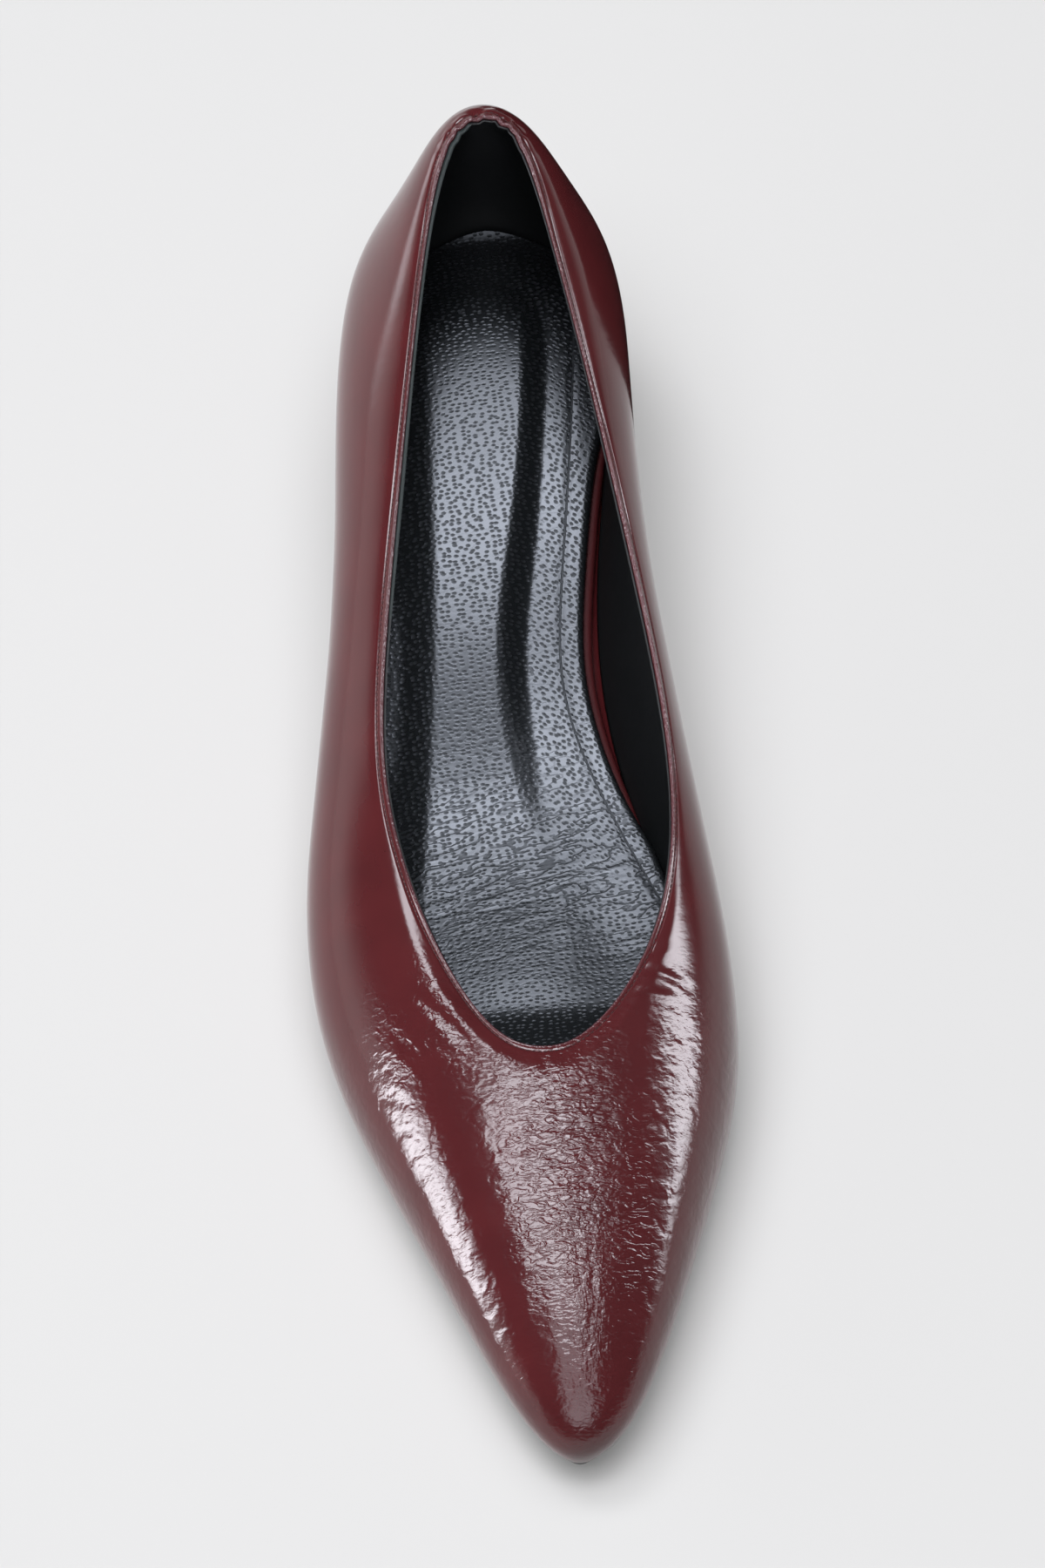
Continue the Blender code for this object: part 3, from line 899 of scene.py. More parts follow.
def milled_leather(colours):
    """Milled calf: tumbled until its grain draws together between small pits, glazed so that it shines.

    The pits lie in rows across the foot, aslant on the medial band. They are drawn a little coarser than they
    are, or the picture would not show them.
    """
    row_turn = math.radians(4)
    band_turn = math.radians(-36)
    wave_turn = math.radians(12)
    material, tree, shader, spots = new_material("black_milled_leather")
    drift = add_node(tree, "ShaderNodeTexNoise", {"Vector": spots, "Scale": per_metre(4), "Detail": 1.0})
    shift = add_node(tree, "ShaderNodeVectorMath", {
        0: drift.outputs["Color"], 3: 0.6 * MM,
    }, operation="SCALE")
    moved = add_node(tree, "ShaderNodeVectorMath", {0: spots, 1: shift.outputs[0]}).outputs[0]
    band, ripple, seam = (
        add_node(tree, "ShaderNodeAttribute", attribute_name=name).outputs["Fac"]
        for name in ("band", "ripple", "seam")
    )
    rows, slanted, level = (
        add_node(tree, "ShaderNodeMapping", {
            "Vector": moved, "Rotation": (0, 0, turn), "Scale": (stretch, 1.0, 1.0),
        }, vector_type="TEXTURE").outputs[0]
        for turn, stretch in ((row_turn, 1.7), (band_turn, 1.7), (wave_turn, 4.0))
    )
    pits, band_pits = (
        add_node(tree, "ShaderNodeTexVoronoi", {
            "Vector": drawn, "Scale": per_metre(0.9), "Randomness": 0.65,
        }, voronoi_dimensions="2D").outputs["Distance"]
        for drawn in (rows, slanted)
    )
    far = add_node(tree, "ShaderNodeMix", {0: band, 2: pits, 3: band_pits}).outputs[0]
    aside = add_node(tree, "ShaderNodeMath", {0: seam}, operation="ABSOLUTE").outputs[0]
    grain, joined = (
        add_node(tree, "ShaderNodeMapRange", {
            "Value": value, "From Min": start, "From Max": end,
        }, interpolation_type="SMOOTHSTEP").outputs[0]
        for value, start, end in ((far, 0.02, 0.42), (aside, 0.08, 0.26))
    )
    waves = add_node(tree, "ShaderNodeTexNoise", {
        "Vector": level, "Scale": per_metre(2.0), "Detail": 1.5,
    }).outputs["Fac"]
    wavy = add_node(tree, "ShaderNodeMix", {0: ripple, 2: 1.0, 3: thin_lines(tree, waves, 0.03)}).outputs[0]
    tops = grain
    for other in (wavy, joined):
        tops = add_node(tree, "ShaderNodeMath", {0: tops, 1: other}, operation="MULTIPLY").outputs[0]
    shine = add_node(tree, "ShaderNodeMapRange", {"Value": tops, "To Min": 0.52, "To Max": 0.25})
    swells = add_node(tree, "ShaderNodeMath", {0: waves, 1: ripple}, operation="MULTIPLY")
    wave_bump = add_node(tree, "ShaderNodeBump", {
        "Height": swells.outputs[0], "Distance": 0.30 * MM, "Strength": 1.0,
    })
    bump = add_node(tree, "ShaderNodeBump", {
        "Height": tops, "Distance": 0.055 * MM, "Strength": 1.0, "Normal": wave_bump.outputs[0],
    })
    feed(shader, {
        "Base Color": (*colours.sock, 1), "Roughness": shine.outputs[0], "IOR": 1.5,
        "Specular IOR Level": 0.7, "Specular Tint": (*colours.sock_glaze, 1), "Normal": bump.outputs[0],
    })
    return material


def sewing_thread(name, colour):
    """Bonded polyester thread: two twisted plies with a dull silk shine."""
    material, _, shader, spots = new_material(name)
    fine_grain(shader, spots, 0.4, 0.05)
    feed(shader, {"Base Color": (*colour, 1), "Roughness": 0.5})
    return material


def sole_leather(colours):
    """Sole: thin black-stained sheet, brushed matt along its length."""
    material, tree, shader, spots = new_material("black_sole_sheet")
    brushed = add_node(tree, "ShaderNodeMapping", {"Vector": spots, "Scale": (1.0, 0.1, 1.0)})
    grain = fine_grain(shader, brushed.outputs[0], 0.8, 0.04, 3.0)
    gloss = add_node(tree, "ShaderNodeMapRange", {"Value": grain, "To Min": 0.42, "To Max": 0.7})
    feed(shader, {"Base Color": (*colours.sole, 1), "Roughness": gloss.outputs[0]})
    return material


def lift_rubber(colours):
    """Top lift: moulded black polyurethane, matt with a fine sparkle of texture."""
    material, _, shader, spots = new_material("black_polyurethane")
    fine_grain(shader, spots, 0.6, 0.04)
    feed(shader, {"Base Color": (*colours.lift, 1), "Roughness": 0.55})
    return material


def paper_floor(colours, glow):
    """Background paper: matt, with the faintest tooth, and lit from all round so that it stays even.

    Where the lamps over the shoe no longer reach it, it is lit from behind.
    """
    reach = 0.6
    full_glow_at = 2.6
    far_glow = glow + 0.6
    material, tree, shader, spots = new_material("background_paper")
    tooth = add_node(tree, "ShaderNodeTexNoise", {"Vector": spots, "Scale": per_metre(2)})
    bump = add_node(tree, "ShaderNodeBump", {
        "Height": tooth.outputs["Fac"], "Distance": 0.02 * MM, "Strength": 0.5,
    })
    away = add_node(tree, "ShaderNodeVectorMath", {0: spots}, operation="LENGTH")
    behind = add_node(tree, "ShaderNodeMapRange", {
        "Value": away.outputs["Value"], "From Min": reach, "From Max": full_glow_at,
        "To Min": glow, "To Max": far_glow,
    }, interpolation_type="SMOOTHSTEP")
    feed(shader, {
        "Base Color": (*colours.floor, 1), "Roughness": 0.9, "Specular IOR Level": 0.0,
        "Normal": bump.outputs[0],
        "Emission Color": (1, 1, 1, 1), "Emission Strength": behind.outputs[0],
    })
    return material


# Relief of the leather

def crease_relief(crease, along, across):
    """Height of one crease: a soft trough between two low shoulders, fading out at its ends."""
    shoulder = 0.45
    heading = math.radians(crease.heading)
    run = (along - crease.along) * math.cos(heading) + (across - crease.across) * math.sin(heading)
    side = (across - crease.across) * math.cos(heading) - (along - crease.along) * math.sin(heading)
    share = np.clip(1 - (2 * run / crease.length)**2, 0, 1)
    side = side - crease.bow * share
    trough = hump(side, 0, crease.width)
    shoulders = hump(np.abs(side), 2 * crease.width, crease.width)
    return crease.depth * share**2 * (shoulder * shoulders - trough)


def swell(points, size):
    """Soft uneven swelling between -1 and 1, with lumps of a size in millimetres."""
    flat = (points / size).reshape(-1, 3)
    return np.array([noise.noise(Vector(point)) for point in flat]).reshape(points.shape[:2])


def flex_share(points):
    """How crinkled the leather is: most in the middle of the vamp, least on the quarters and low down."""
    along, across = points[..., 0], points[..., 1]
    rise = points[..., 2] - bottom(along)
    middle = hump(across, 1, 11, 4) * (1 - 0.6 * hump(across, -5, 4))
    sides = 0.22 * hump(across, 25, 4) + 0.28 * hump(across, -21, 6)
    vamp = smooth(along, 166, 186) * (0.06 + 0.94 * middle + sides)
    return 0.05 + 0.95 * vamp * (0.3 + 0.7 * smooth(rise, 4, 13))


def fold_share(points):
    """Where the crinkle gathers into thin folds: the middle of the vamp."""
    along, across = points[..., 0], points[..., 1]
    return between(along, 190, 204, 226, 246) * hump(across, 3, 12, 4)


def lump_share(points):
    """Where the lacquer lies in soft lumps: all over the vamp, fading down its walls."""
    along = points[..., 0]
    rise = points[..., 2] - bottom(along)
    return 0.06 + 0.94 * smooth(along, 170, 192) * smooth(rise, 4, 14)


def pleat_share(points):
    """Where the crinkle runs lengthways: the middle of the vamp towards the toe."""
    along, across = points[..., 0], points[..., 1]
    return between(along, 212, 226, 248, 262) * hump(across, 4, 6)


def crumple_share(points):
    """Where the leather is crumpled short and fine: beside the lateral half of the throat."""
    along, across = points[..., 0], points[..., 1]
    return hump(along, 184, 13) * hump(across, -24, 10)


# A crinkle layer's columns: the attribute that says where it is and the function that gives it, its size in
# millimetres, how far it is drawn out along each axis, how it wanders, how wide its lines are, or 0 where it
# is drawn in waves, and its depth in millimetres
Crinkle = namedtuple("Crinkle", "attribute share size squeeze distortion line depth")

CRINKLES = (
    Crinkle("flex", flex_share, 0.75, (0.5, 1.0, 0.6), 0.6, 0, 0.14),
    Crinkle("folds", fold_share, 1.4, (0.45, 1.0, 0.6), 0.6, 0.1, 0.055),
    Crinkle("lumps", lump_share, 2.3, (0.8, 0.8, 0.8), 0.5, 0, 0.13),
    Crinkle("pleats", pleat_share, 0.8, (1.0, 0.3, 0.8), 0.6, 0, 0.10),
    Crinkle("crumple", crumple_share, 1.1, (0.7, 0.9, 0.8), 0.6, 0, 0.18),
)


def leather_relief(points, distance, sizes):
    """How far the leather stands out from the last, for points at distances below the topline."""
    along, across = points[..., 0], points[..., 1]
    groove_depth = 0.16
    groove_width = 0.3
    pucker_height = 0.06
    pucker_size = 3.4
    billow_height = 0.10
    billow_size = 17
    relief = -groove_depth * hump(distance, sizes.groove / MM, groove_width)
    relief += pucker_height * flex_share(points) * swell(points, pucker_size)
    relief += billow_height * swell(points, billow_size)
    for crease in CREASES:
        relief += sizes.crease_depth * crease_relief(crease, along, across)
    return relief * smooth(distance, 0.2, 1.4)


# Pieces

FoldFrame = namedtuple("FoldFrame", "centre out up")


def fold_frame(wall, fold):
    """Centre of the topline's fold in each column, and its outward and upward directions."""
    near, out = on_wall(wall, np.full((1, wall.run.shape[1]), fold))
    up = wall.points[0] - near[0]
    up = unit(up - np.sum(up * out[0], axis=-1, keepdims=True) * out[0])
    return FoldFrame(near[0] - fold * out[0], out[0], up)


def fold_arc(ends, radius, first, last, rows):
    """Rows round the fold, from one angle to another: 0 is outside, 90 on top and 180 inside."""
    angles = np.radians(np.linspace(first, last, rows))[:, None, None]
    return ends.centre + radius * (np.cos(angles) * ends.out + np.sin(angles) * ends.up)


def row_distances(wall, near, rows, end):
    """Distances below the topline: fixed ones, then even shares down to an end above the feather line."""
    full = wall.run[-1] - end
    fixed = np.broadcast_to(np.array(near)[:, None], (len(near), len(full)))
    share = np.linspace(0, 1, rows + 1)[1:, None]
    return np.concatenate([fixed, near[-1] + share * (full - near[-1])])


def lasting_margin(feather):
    """Inner edge of the leather that is turned in under the insole."""
    edge = feather.copy()
    half_length = LENGTH / 2
    half_width = BALL_WIDTH / 2
    edge[..., 0] = half_length + (edge[..., 0] - half_length) * (1 - LASTING_MARGIN / half_length)
    edge[..., 1] *= 1 - LASTING_MARGIN / half_width
    edge[..., 2] = bottom(edge[..., 0])
    return edge


def light_group(name, piece=None, state="INCLUDE"):
    """Group of what a lamp lights, or of what it spares, with a piece added to it."""
    group = bpy.data.collections.get(name) or bpy.data.collections.new(name)
    if piece:
        group.objects.link(piece)
        group.collection_objects[len(group.objects) - 1].light_linking.link_state = state
    return group


class PUMP_OT_upper(bpy.types.Operator):
    """Patent leather of the upper: folded topline, creased vamp, margin turned in under the insole"""

    bl_idname = "pump.upper"
    bl_label = "Upper leather"

    def execute(self, context):
        sizes = context.scene.pump_sizes
        fold = sizes.fold / MM
        turned = sizes.turning / MM
        thickness = 0.95
        roll = 1.1
        wall = wall_columns(even_turns(UPPER_COLUMNS))
        ends = fold_frame(wall, fold)
        distances = row_distances(wall, (fold, *HEM_ROWS), UPPER_ROWS, roll)
        base, normals = on_wall(wall, distances)
        outer = base + leather_relief(base, distances, sizes)[..., None] * normals
        arc = fold_arc(ends, fold, 180, 0, 11)[:-1]
        inner, inner_normals = on_wall(wall, np.repeat([[turned], [2.0], [1.4]], UPPER_COLUMNS, axis=1))
        turning = inner - 2 * fold * inner_normals
        feather = wall.points[-1:]
        margin = lasting_margin(feather)
        start = feather + unit(margin - feather) * roll
        share = np.linspace(0, 1, 6)[1:-1, None, None]
        rolled = (1 - share)**2 * outer[-1:] + 2 * share * (1 - share) * feather + share**2 * start
        under = np.concatenate([start, 0.5 * (start + margin), margin])
        over = under[::-1] + (0, 0, thickness)
        back_distances = row_distances(wall, (turned + 0.4,), BACK_ROWS, roll + 0.6)[::-1]
        back, back_normals = on_wall(wall, back_distances)
        back = back - thickness * back_normals
        # Once round: turned leather, fold, outer face, roll at the sole, margin under the insole, hidden back
        rows = np.concatenate([turning, arc, outer, rolled, under, over, back])
        leather = patent_leather(context.scene.pump_colours)
        piece = make_piece("upper_leather", *ring_skin(rows), [leather])
        for layer in CRINKLES:
            mark_share(piece, layer.attribute, layer.share)
        # Along the fold's crest the leather's colour is painted paler, a painted highlight marked as the bead
        # attribute
        crest_angle = 55
        highlight_reach = 0.32
        highlight_fade = 0.3
        crest = fold_arc(ends, fold, crest_angle, crest_angle, 1)[0]
        mark_share(piece, "bead", near_line(crest, highlight_reach, highlight_fade))
        seat(piece, "upper")
        return {"FINISHED"}


class PUMP_OT_lining(bpy.types.Operator):
    """Black lining inside the upper, its cut edge just under the fold"""

    bl_idname = "pump.lining"
    bl_label = "Lining"

    def execute(self, context):
        sizes = context.scene.pump_sizes
        colours = context.scene.pump_colours
        fold = sizes.fold / MM
        gap = 0.04
        back_wall = 1.0
        end = 1.6
        edge_angle = 122
        swelling = 0.5
        least_bare = 0.3
        wall = wall_columns(even_turns(LINING_COLUMNS))
        ends = fold_frame(wall, fold)
        # On the lateral side of the heel the edge is thicker, and its grey fibres show
        bare = smooth(ends.centre[:, 0], 120, 70) * smooth(ends.centre[:, 1], 0, -6)
        edge = sizes.lining / MM + swelling * bare
        distances = row_distances(wall, LINING_EDGE_ROWS, LINING_ROWS, end)
        base, normals = on_wall(wall, distances)
        thick = 1 - smooth(distances, 2.6, 6.0)
        back_depth = back_wall + (2 * fold + gap - back_wall) * thick
        front_depth = WALL + (2 * fold + gap + edge - WALL) * thick
        front = base - front_depth[..., None] * normals
        back = (base - back_depth[..., None] * normals)[::-1]
        front_arc = fold_arc(ends, fold + gap + edge[:, None], edge_angle, 180, 6)
        back_arc = fold_arc(ends, fold + gap, 180, edge_angle, 6)
        rows = np.concatenate([front_arc, front, back, back_arc])
        materials = [lining_leather(colours), cut_edge(colours)]
        piece = make_piece("lining", *ring_skin(rows), materials)
        marks = np.zeros(rows.shape[:2], np.int32)
        marks[-1] = bare > least_bare
        marks[:len(front_arc)] = bare > least_bare
        piece.data.polygons.foreach_set("material_index", marks.ravel())
        seat(piece, "upper")
        return {"FINISHED"}


def inner_plan(rise, inset, rim_width):
    """Lateral and medial plan lines of a plate inside the upper.

    At the medial waist the plate is drawn in to the sock's edge line, or a rim's width beyond it.
    """
    sharp = 3.0
    turns = np.linspace(0, TOE_TURN, PLATE_ROWS + 1)
    line = wall_line(both_sides(turns, FULL_TURN - turns), rise, WALL + GAP + inset)
    lateral = line[:PLATE_ROWS + 1]
    medial = np.concatenate([line[:1], line[:PLATE_ROWS - 1:-1]])
    limit = sock_line(SOCK_EDGE, medial[:, 0]) + rim_width
    medial[:, 1] = -np.logaddexp(-sharp * medial[:, 1], -sharp * limit) / sharp
    medial[0] = lateral[0]
    medial[-1] = lateral[-1]
    return lateral, medial


def plate(low, high, inset, rim_width):
    """Lower and upper face of a plate inside the upper, at two rises above the bottom curve."""
    plan = inner_plan(high, inset, rim_width)
    return [across_rows(*plan, lambda along: bottom(along) + rise, PLATE_ACROSS) for rise in (low, high)]


def edge_drop(grid, radius):
    """How far a plate's top falls away at its rounded sides."""
    side = np.minimum(
        np.linalg.norm(grid[..., :2] - grid[:, :1, :2], axis=-1),
        np.linalg.norm(grid[..., :2] - grid[:, -1:, :2], axis=-1),
    )
    inside = np.clip(1 - side / radius, 0, 1)
    return radius * (1 - np.sqrt(1 - inside**2))


class PUMP_OT_insole(bpy.types.Operator):
    """Insole wrapped in burgundy leather, whose rim shows beside the sock at the waist"""

    bl_idname = "pump.insole"
    bl_label = "Insole"

    def execute(self, context):
        edge_radius = 1.0
        low, high = plate(INSOLE_RISE, INSOLE_TOP, 0.0, context.scene.pump_sizes.rim / MM)
        high[..., 2] -= edge_drop(high, edge_radius)
        leather = insole_leather(context.scene.pump_colours)
        piece = make_piece("insole_cover", *block([low, high]), [leather])
        seat(piece, "insole")
        return {"FINISHED"}


def sock_relief(along, across):
    """Relief of the padded sock: ridge with falling sides, heel cup, domed ball, curled front and seam."""
    bend = 0.5
    lateral_fall = 0.29
    lateral_foot = 6.5
    lateral_rise = 0.26
    heel_dip = 1.2
    heel_cup = 4.2
    front_curl = 3.0
    seam_depth = 0.12
    seam_width = 0.8
    ridge_medial, foot_medial, ridge_lateral, seam = (
        sock_line(line, along) for line in (RIDGE_MEDIAL, FOOT_MEDIAL, RIDGE_LATERAL, SOCK_SEAM)
    )
    round_end = 0.05 * (across + 3.5)**2 * smooth(along, 60, 24)
    relief = sock_line(RIDGE_HEIGHTS, along - round_end) * smooth(across, foot_medial, ridge_medial)
    past = soft_knee(ridge_lateral - across, bend)
    relief -= lateral_fall * past * between(along, 14, 26, 140, 165)
    relief += lateral_rise * soft_knee(past - lateral_foot, bend) * between(along, 75, 90, 112, 125)
    relief -= heel_dip * smooth(along, 20, 3)
    relief += heel_cup * smooth(along, 4, -5)
    relief -= seam_depth * hump(across, seam, seam_width) * between(along, 24, 34, 150, 160)
    for mound in SOCK_MOUNDS:
        shape = hump(along, mound.along, mound.length) * hump(across, mound.across, mound.width)
        relief += mound.height * shape
    return relief + front_curl * between(along, 168, 182, 200, 235)


def band_share(points):
    """Where the sock's grain runs aslant: the band on its medial side."""
    along, across = points[..., 0], points[..., 1]
    foot = sock_line(FOOT_MEDIAL, along)
    return smooth(across, foot - 1.5, foot + 1.5) * smooth(along, 150, 130)


def ripple_share(points):
    """How far the sock is rippled across: most behind the ball, where it bends."""
    return 0.08 + 0.8 * hump(points[..., 0], 140, 17)


def seam_offset(points):
    """How far a point lies from the line where the sock's two parts meet, in millimetres."""
    along, across = points[..., 0], points[..., 1]
    return across - sock_line(SOCK_SEAM, along)


class PUMP_OT_sock(bpy.types.Operator):
    """Padded sock of black milled leather"""

    bl_idname = "pump.sock"
    bl_label = "Sock"

    def execute(self, context):
        edge_radius = 1.4
        inset = 0.4
        least = 0.4
        low, high = plate(SOCK_RISE, SOCK_TOP, inset, 0.0)
        relief = sock_relief(high[..., 0], high[..., 1]) - edge_drop(high, edge_radius)
        pad = context.scene.pump_sizes.pad / MM
        high[..., 2] = np.maximum(high[..., 2] + pad + relief, low[..., 2] + least)
        leather = milled_leather(context.scene.pump_colours)
        piece = make_piece("sock_pad", *block([low, high]), [leather])
        mark_share(piece, "band", band_share)
        mark_share(piece, "ripple", ripple_share)
        mark_share(piece, "seam", seam_offset)
        light_group(ALL_BUT_SOCK, piece, "EXCLUDE")
        light_group(SOCK_ALONE, piece)
        seat(piece, "sock")
        return {"FINISHED"}


def stitch_tree():
    """Geometry Nodes tree that lays stitches along a line."""
    tree = bpy.data.node_groups.new("stitch_row", "GeometryNodeTree")
    face = tree.interface
    face.new_socket("Line", in_out="INPUT", socket_type="NodeSocketGeometry")
    for name in ("Pitch", "Length", "Thickness"):
        face.new_socket(name, in_out="INPUT", socket_type="NodeSocketFloat").subtype = "DISTANCE"
    face.new_socket("Thread", in_out="INPUT", socket_type="NodeSocketMaterial")
    face.new_socket("Stitches", in_out="OUTPUT", socket_type="NodeSocketGeometry")
    given = add_node(tree, "NodeGroupInput").outputs
    points = add_node(tree, "GeometryNodeCurveToPoints", {
        "Curve": given["Line"], "Length": given["Pitch"],
    }, mode="LENGTH")
    bead = add_node(tree, "GeometryNodeMeshUVSphere", {"Segments": 8, "Rings": 6, "Radius": 0.5})
    drawn = add_node(tree, "ShaderNodeCombineXYZ", {
        "X": given["Thickness"], "Y": given["Thickness"], "Z": given["Length"],
    })
    laid = add_node(tree, "GeometryNodeInstanceOnPoints", {
        "Points": points.outputs["Points"], "Instance": bead.outputs["Mesh"],
        "Rotation": points.outputs["Rotation"], "Scale": drawn.outputs[0],
    })
    real = add_node(tree, "GeometryNodeRealizeInstances", {"Geometry": laid.outputs[0]})
    soft = add_node(tree, "GeometryNodeSetShadeSmooth", {"Geometry": real.outputs[0]})
    dyed = add_node(tree, "GeometryNodeSetMaterial", {
        "Geometry": soft.outputs[0], "Material": given["Thread"],
    })
    add_node(tree, "NodeGroupOutput", {"Stitches": dyed.outputs[0]})
    return tree


def stitch_row(name, points, sizes, thread):
    """Mesh of the stitches along a closed line of points in shoe millimetres."""
    curve = bpy.data.curves.new(name, "CURVE")
    curve.dimensions = "3D"
    spline = curve.splines.new("POLY")
    spline.points.add(len(points) - 1)
    spline.points.foreach_set("co", np.c_[place(points), np.ones(len(points))].ravel())
    spline.use_cyclic_u = True
    line = bpy.data.objects.new(name + "_line", curve)
    bpy.context.scene.collection.objects.link(line)
    tree = bpy.data.node_groups.get("stitch_row") or stitch_tree()
    sewing = line.modifiers.new("stitches", "NODES")
    sewing.node_group = tree
    values = {
        "Pitch": sizes.stitch_pitch, "Length": sizes.stitch_length,
        "Thickness": sizes.thread, "Thread": thread,
    }
    for item in tree.interface.items_tree:
        if item.in_out == "INPUT" and item.name in values:
            sewing[item.identifier] = values[item.name]
    sewn = line.evaluated_get(bpy.context.evaluated_depsgraph_get())
    mesh = bpy.data.meshes.new_from_object(sewn)
    bpy.data.objects.remove(line)
    piece = bpy.data.objects.new(name, mesh)
    bpy.context.scene.collection.objects.link(piece)
    return piece


class PUMP_OT_stitches(bpy.types.Operator):
    """Stitch rows outside and inside the topline"""

    bl_idname = "pump.stitches"
    bl_label = "Stitches"

    def execute(self, context):
        sizes = context.scene.pump_sizes
        colours = context.scene.pump_colours
        stand = 0.04
        wall = wall_columns(even_turns(LINING_COLUMNS))
        distances = np.full((1, LINING_COLUMNS), sizes.groove / MM)
        base, normals = on_wall(wall, distances)
        relief = leather_relief(base, distances, sizes)
        outer = (base + (relief[..., None] + stand) * normals)[0]
        depth = (2 * sizes.fold + sizes.lining) / MM + stand
        inner = (base - depth * normals)[0]
        rows = (
            ("topline_stitches", outer, sewing_thread("burgundy_thread", colours.thread)),
            ("lining_stitches", inner, sewing_thread("black_thread", colours.lining)),
        )
        for name, points, thread in rows:
            seat(stitch_row(name, points, sizes, thread), "upper")
        return {"FINISHED"}


class PUMP_OT_outsole(bpy.types.Operator):
    """Thin black sole with rounded edges"""

    bl_idname = "pump.outsole"
    bl_label = "Outsole"

    def execute(self, context):
        # How far each level lies below the bottom curve, and how far its outline is drawn in
        profile = (
            (FLOOR_STACK, 0.9),
            (FLOOR_STACK - 0.15, 0.45),
            (FLOOR_STACK - 0.5, 0.1),
            (FLOOR_STACK - 0.9, 0.0),
            (GAP + 0.5, 0.0),
            (GAP + 0.15, 0.1),
            (GAP, 0.35),
        )
        levels = []
        for drop, inset in profile:
            sides = side_lines(HEEL_BREAST + GAP + inset, None, SOLE_ROWS, SOLE_INSET + inset)
            levels.append(across_rows(*sides, lambda along: bottom(along) - drop, SOLE_ACROSS))
        piece = make_piece("outsole_sheet", *block(levels), [sole_leather(context.scene.pump_colours)])
        piece.data.set_sharp_from_angle(angle=SHARP_ANGLE)
        seat(piece, "outsole")
        return {"FINISHED"}


def heel_section(plan, section):
    """The seat outline drawn in to one section of the heel."""
    _, back, breast, width = section
    drawn = plan.copy()
    drawn[:, 0] = back + plan[:, 0] / HEEL_BREAST * (breast - back)
    drawn[:, 1] *= width / 100
    return drawn


def heel_loop(section, hollow, corner):
    """Outline of a heel section: two sides and a dished breast, its corners rounded, evenly spaced."""
    side_rows = 120
    breast_rows = 59
    blur = 12
    sides = side_lines(None, HEEL_BREAST, side_rows, HEEL_INSET)
    lateral, medial = (heel_section(side, section) for side in sides)
    share = np.linspace(0, 1, breast_rows + 1)[1:-1, None]
    breast = lateral[-1:] * (1 - share) + medial[-1:] * share
    breast[:, :1] -= hollow * np.sin(np.pi * share)
    loop = np.concatenate([lateral, breast, medial[:0:-1], lateral[:1]])
    run = run_length(loop)
    spacing = run[-1] / HEEL_POINTS
    places = np.arange(HEEL_POINTS) * spacing
    even = np.stack([np.interp(places, run, loop[:, axis]) for axis in (0, 1)], axis=1)
    reach = np.arange(-blur, blur + 1)
    weights = hump(reach * spacing, 0, corner)
    weights /= weights.sum()
    return sum(weight * np.roll(even, step, axis=0) for weight, step in zip(weights, reach))


class PUMP_OT_heel(bpy.types.Operator):
    """Heel covered in the upper's leather"""

    bl_idname = "pump.heel"
    bl_label = "Heel"

    def execute(self, context):
        corner = 0.9
        foot = LIFT_THICKNESS + GAP
        steps = np.linspace(0, len(HEEL_SECTIONS) - 1, HEEL_LEVELS + 1)
        loops = []
        for section in soft_line(np.array(HEEL_SECTIONS), steps):
            share = section[0]
            plan = heel_loop(section, BREAST_HOLLOW * 4 * share * (1 - share), corner)
            seat_height = bottom(np.clip(plan[:, :1], 0, HEEL_BREAST)) - GAP
            loops.append(np.concatenate([plan, foot + share * (seat_height - foot)], axis=1))
        leather = patent_leather(context.scene.pump_colours)
        piece = make_piece("heel_cover", *loft(np.array(loops)), [leather])
        piece.data.set_sharp_from_angle(angle=SHARP_ANGLE)
        seat(piece, "heel")
        return {"FINISHED"}


class PUMP_OT_top_lift(bpy.types.Operator):
    """Wearing tip under the heel"""

    bl_idname = "pump.top_lift"
    bl_label = "Top lift"

    def execute(self, context):
        corner = 0.7
        step = 0.2
        stem = HEEL_SECTIONS[0]
        # Height of each level, and how far its outline is drawn in
        profile = (
            (0.0, 0.45),
            (0.12, 0.15),
            (0.45, 0.0),
            (LIFT_THICKNESS - 0.3, 0.0),
            (LIFT_THICKNESS, 0.15),
        )
        loops = []
        for height, inset in profile:
            drawn = stem._replace(
                back=stem.back + step + inset, breast=stem.breast - step - inset,
                width=stem.width - step - 2 * inset,
            )
            plan = heel_loop(drawn, 0.0, corner)
            loops.append(np.concatenate([plan, np.full((HEEL_POINTS, 1), height)], axis=1))
        piece = make_piece("lift_tip", *loft(np.array(loops)), [lift_rubber(context.scene.pump_colours)])
        piece.data.set_sharp_from_angle(angle=SHARP_ANGLE)
        seat(piece, "top_lift")
        return {"FINISHED"}


def fade_edges(light, edge):
    """Fades a lamp's panel towards its edges, as the cloth of a softbox does."""
    light.use_nodes = True
    tree = light.node_tree
    spot = add_node(tree, "ShaderNodeNewGeometry").outputs["Parametric"]
    parts = add_node(tree, "ShaderNodeSeparateXYZ", {0: spot})
    fades = []
    for axis in ("X", "Y"):
        inset = add_node(tree, "ShaderNodeMath", {0: parts.outputs[axis], 1: 0.5}, operation="PINGPONG")
        fades.append(add_node(tree, "ShaderNodeMapRange", {
            "Value": inset.outputs[0], "From Max": edge,
        }, interpolation_type="SMOOTHSTEP").outputs[0])
    both = add_node(tree, "ShaderNodeMath", {0: fades[0], 1: fades[1]}, operation="MULTIPLY")
    feed(tree.nodes["Emission"], {"Strength": both.outputs[0]})


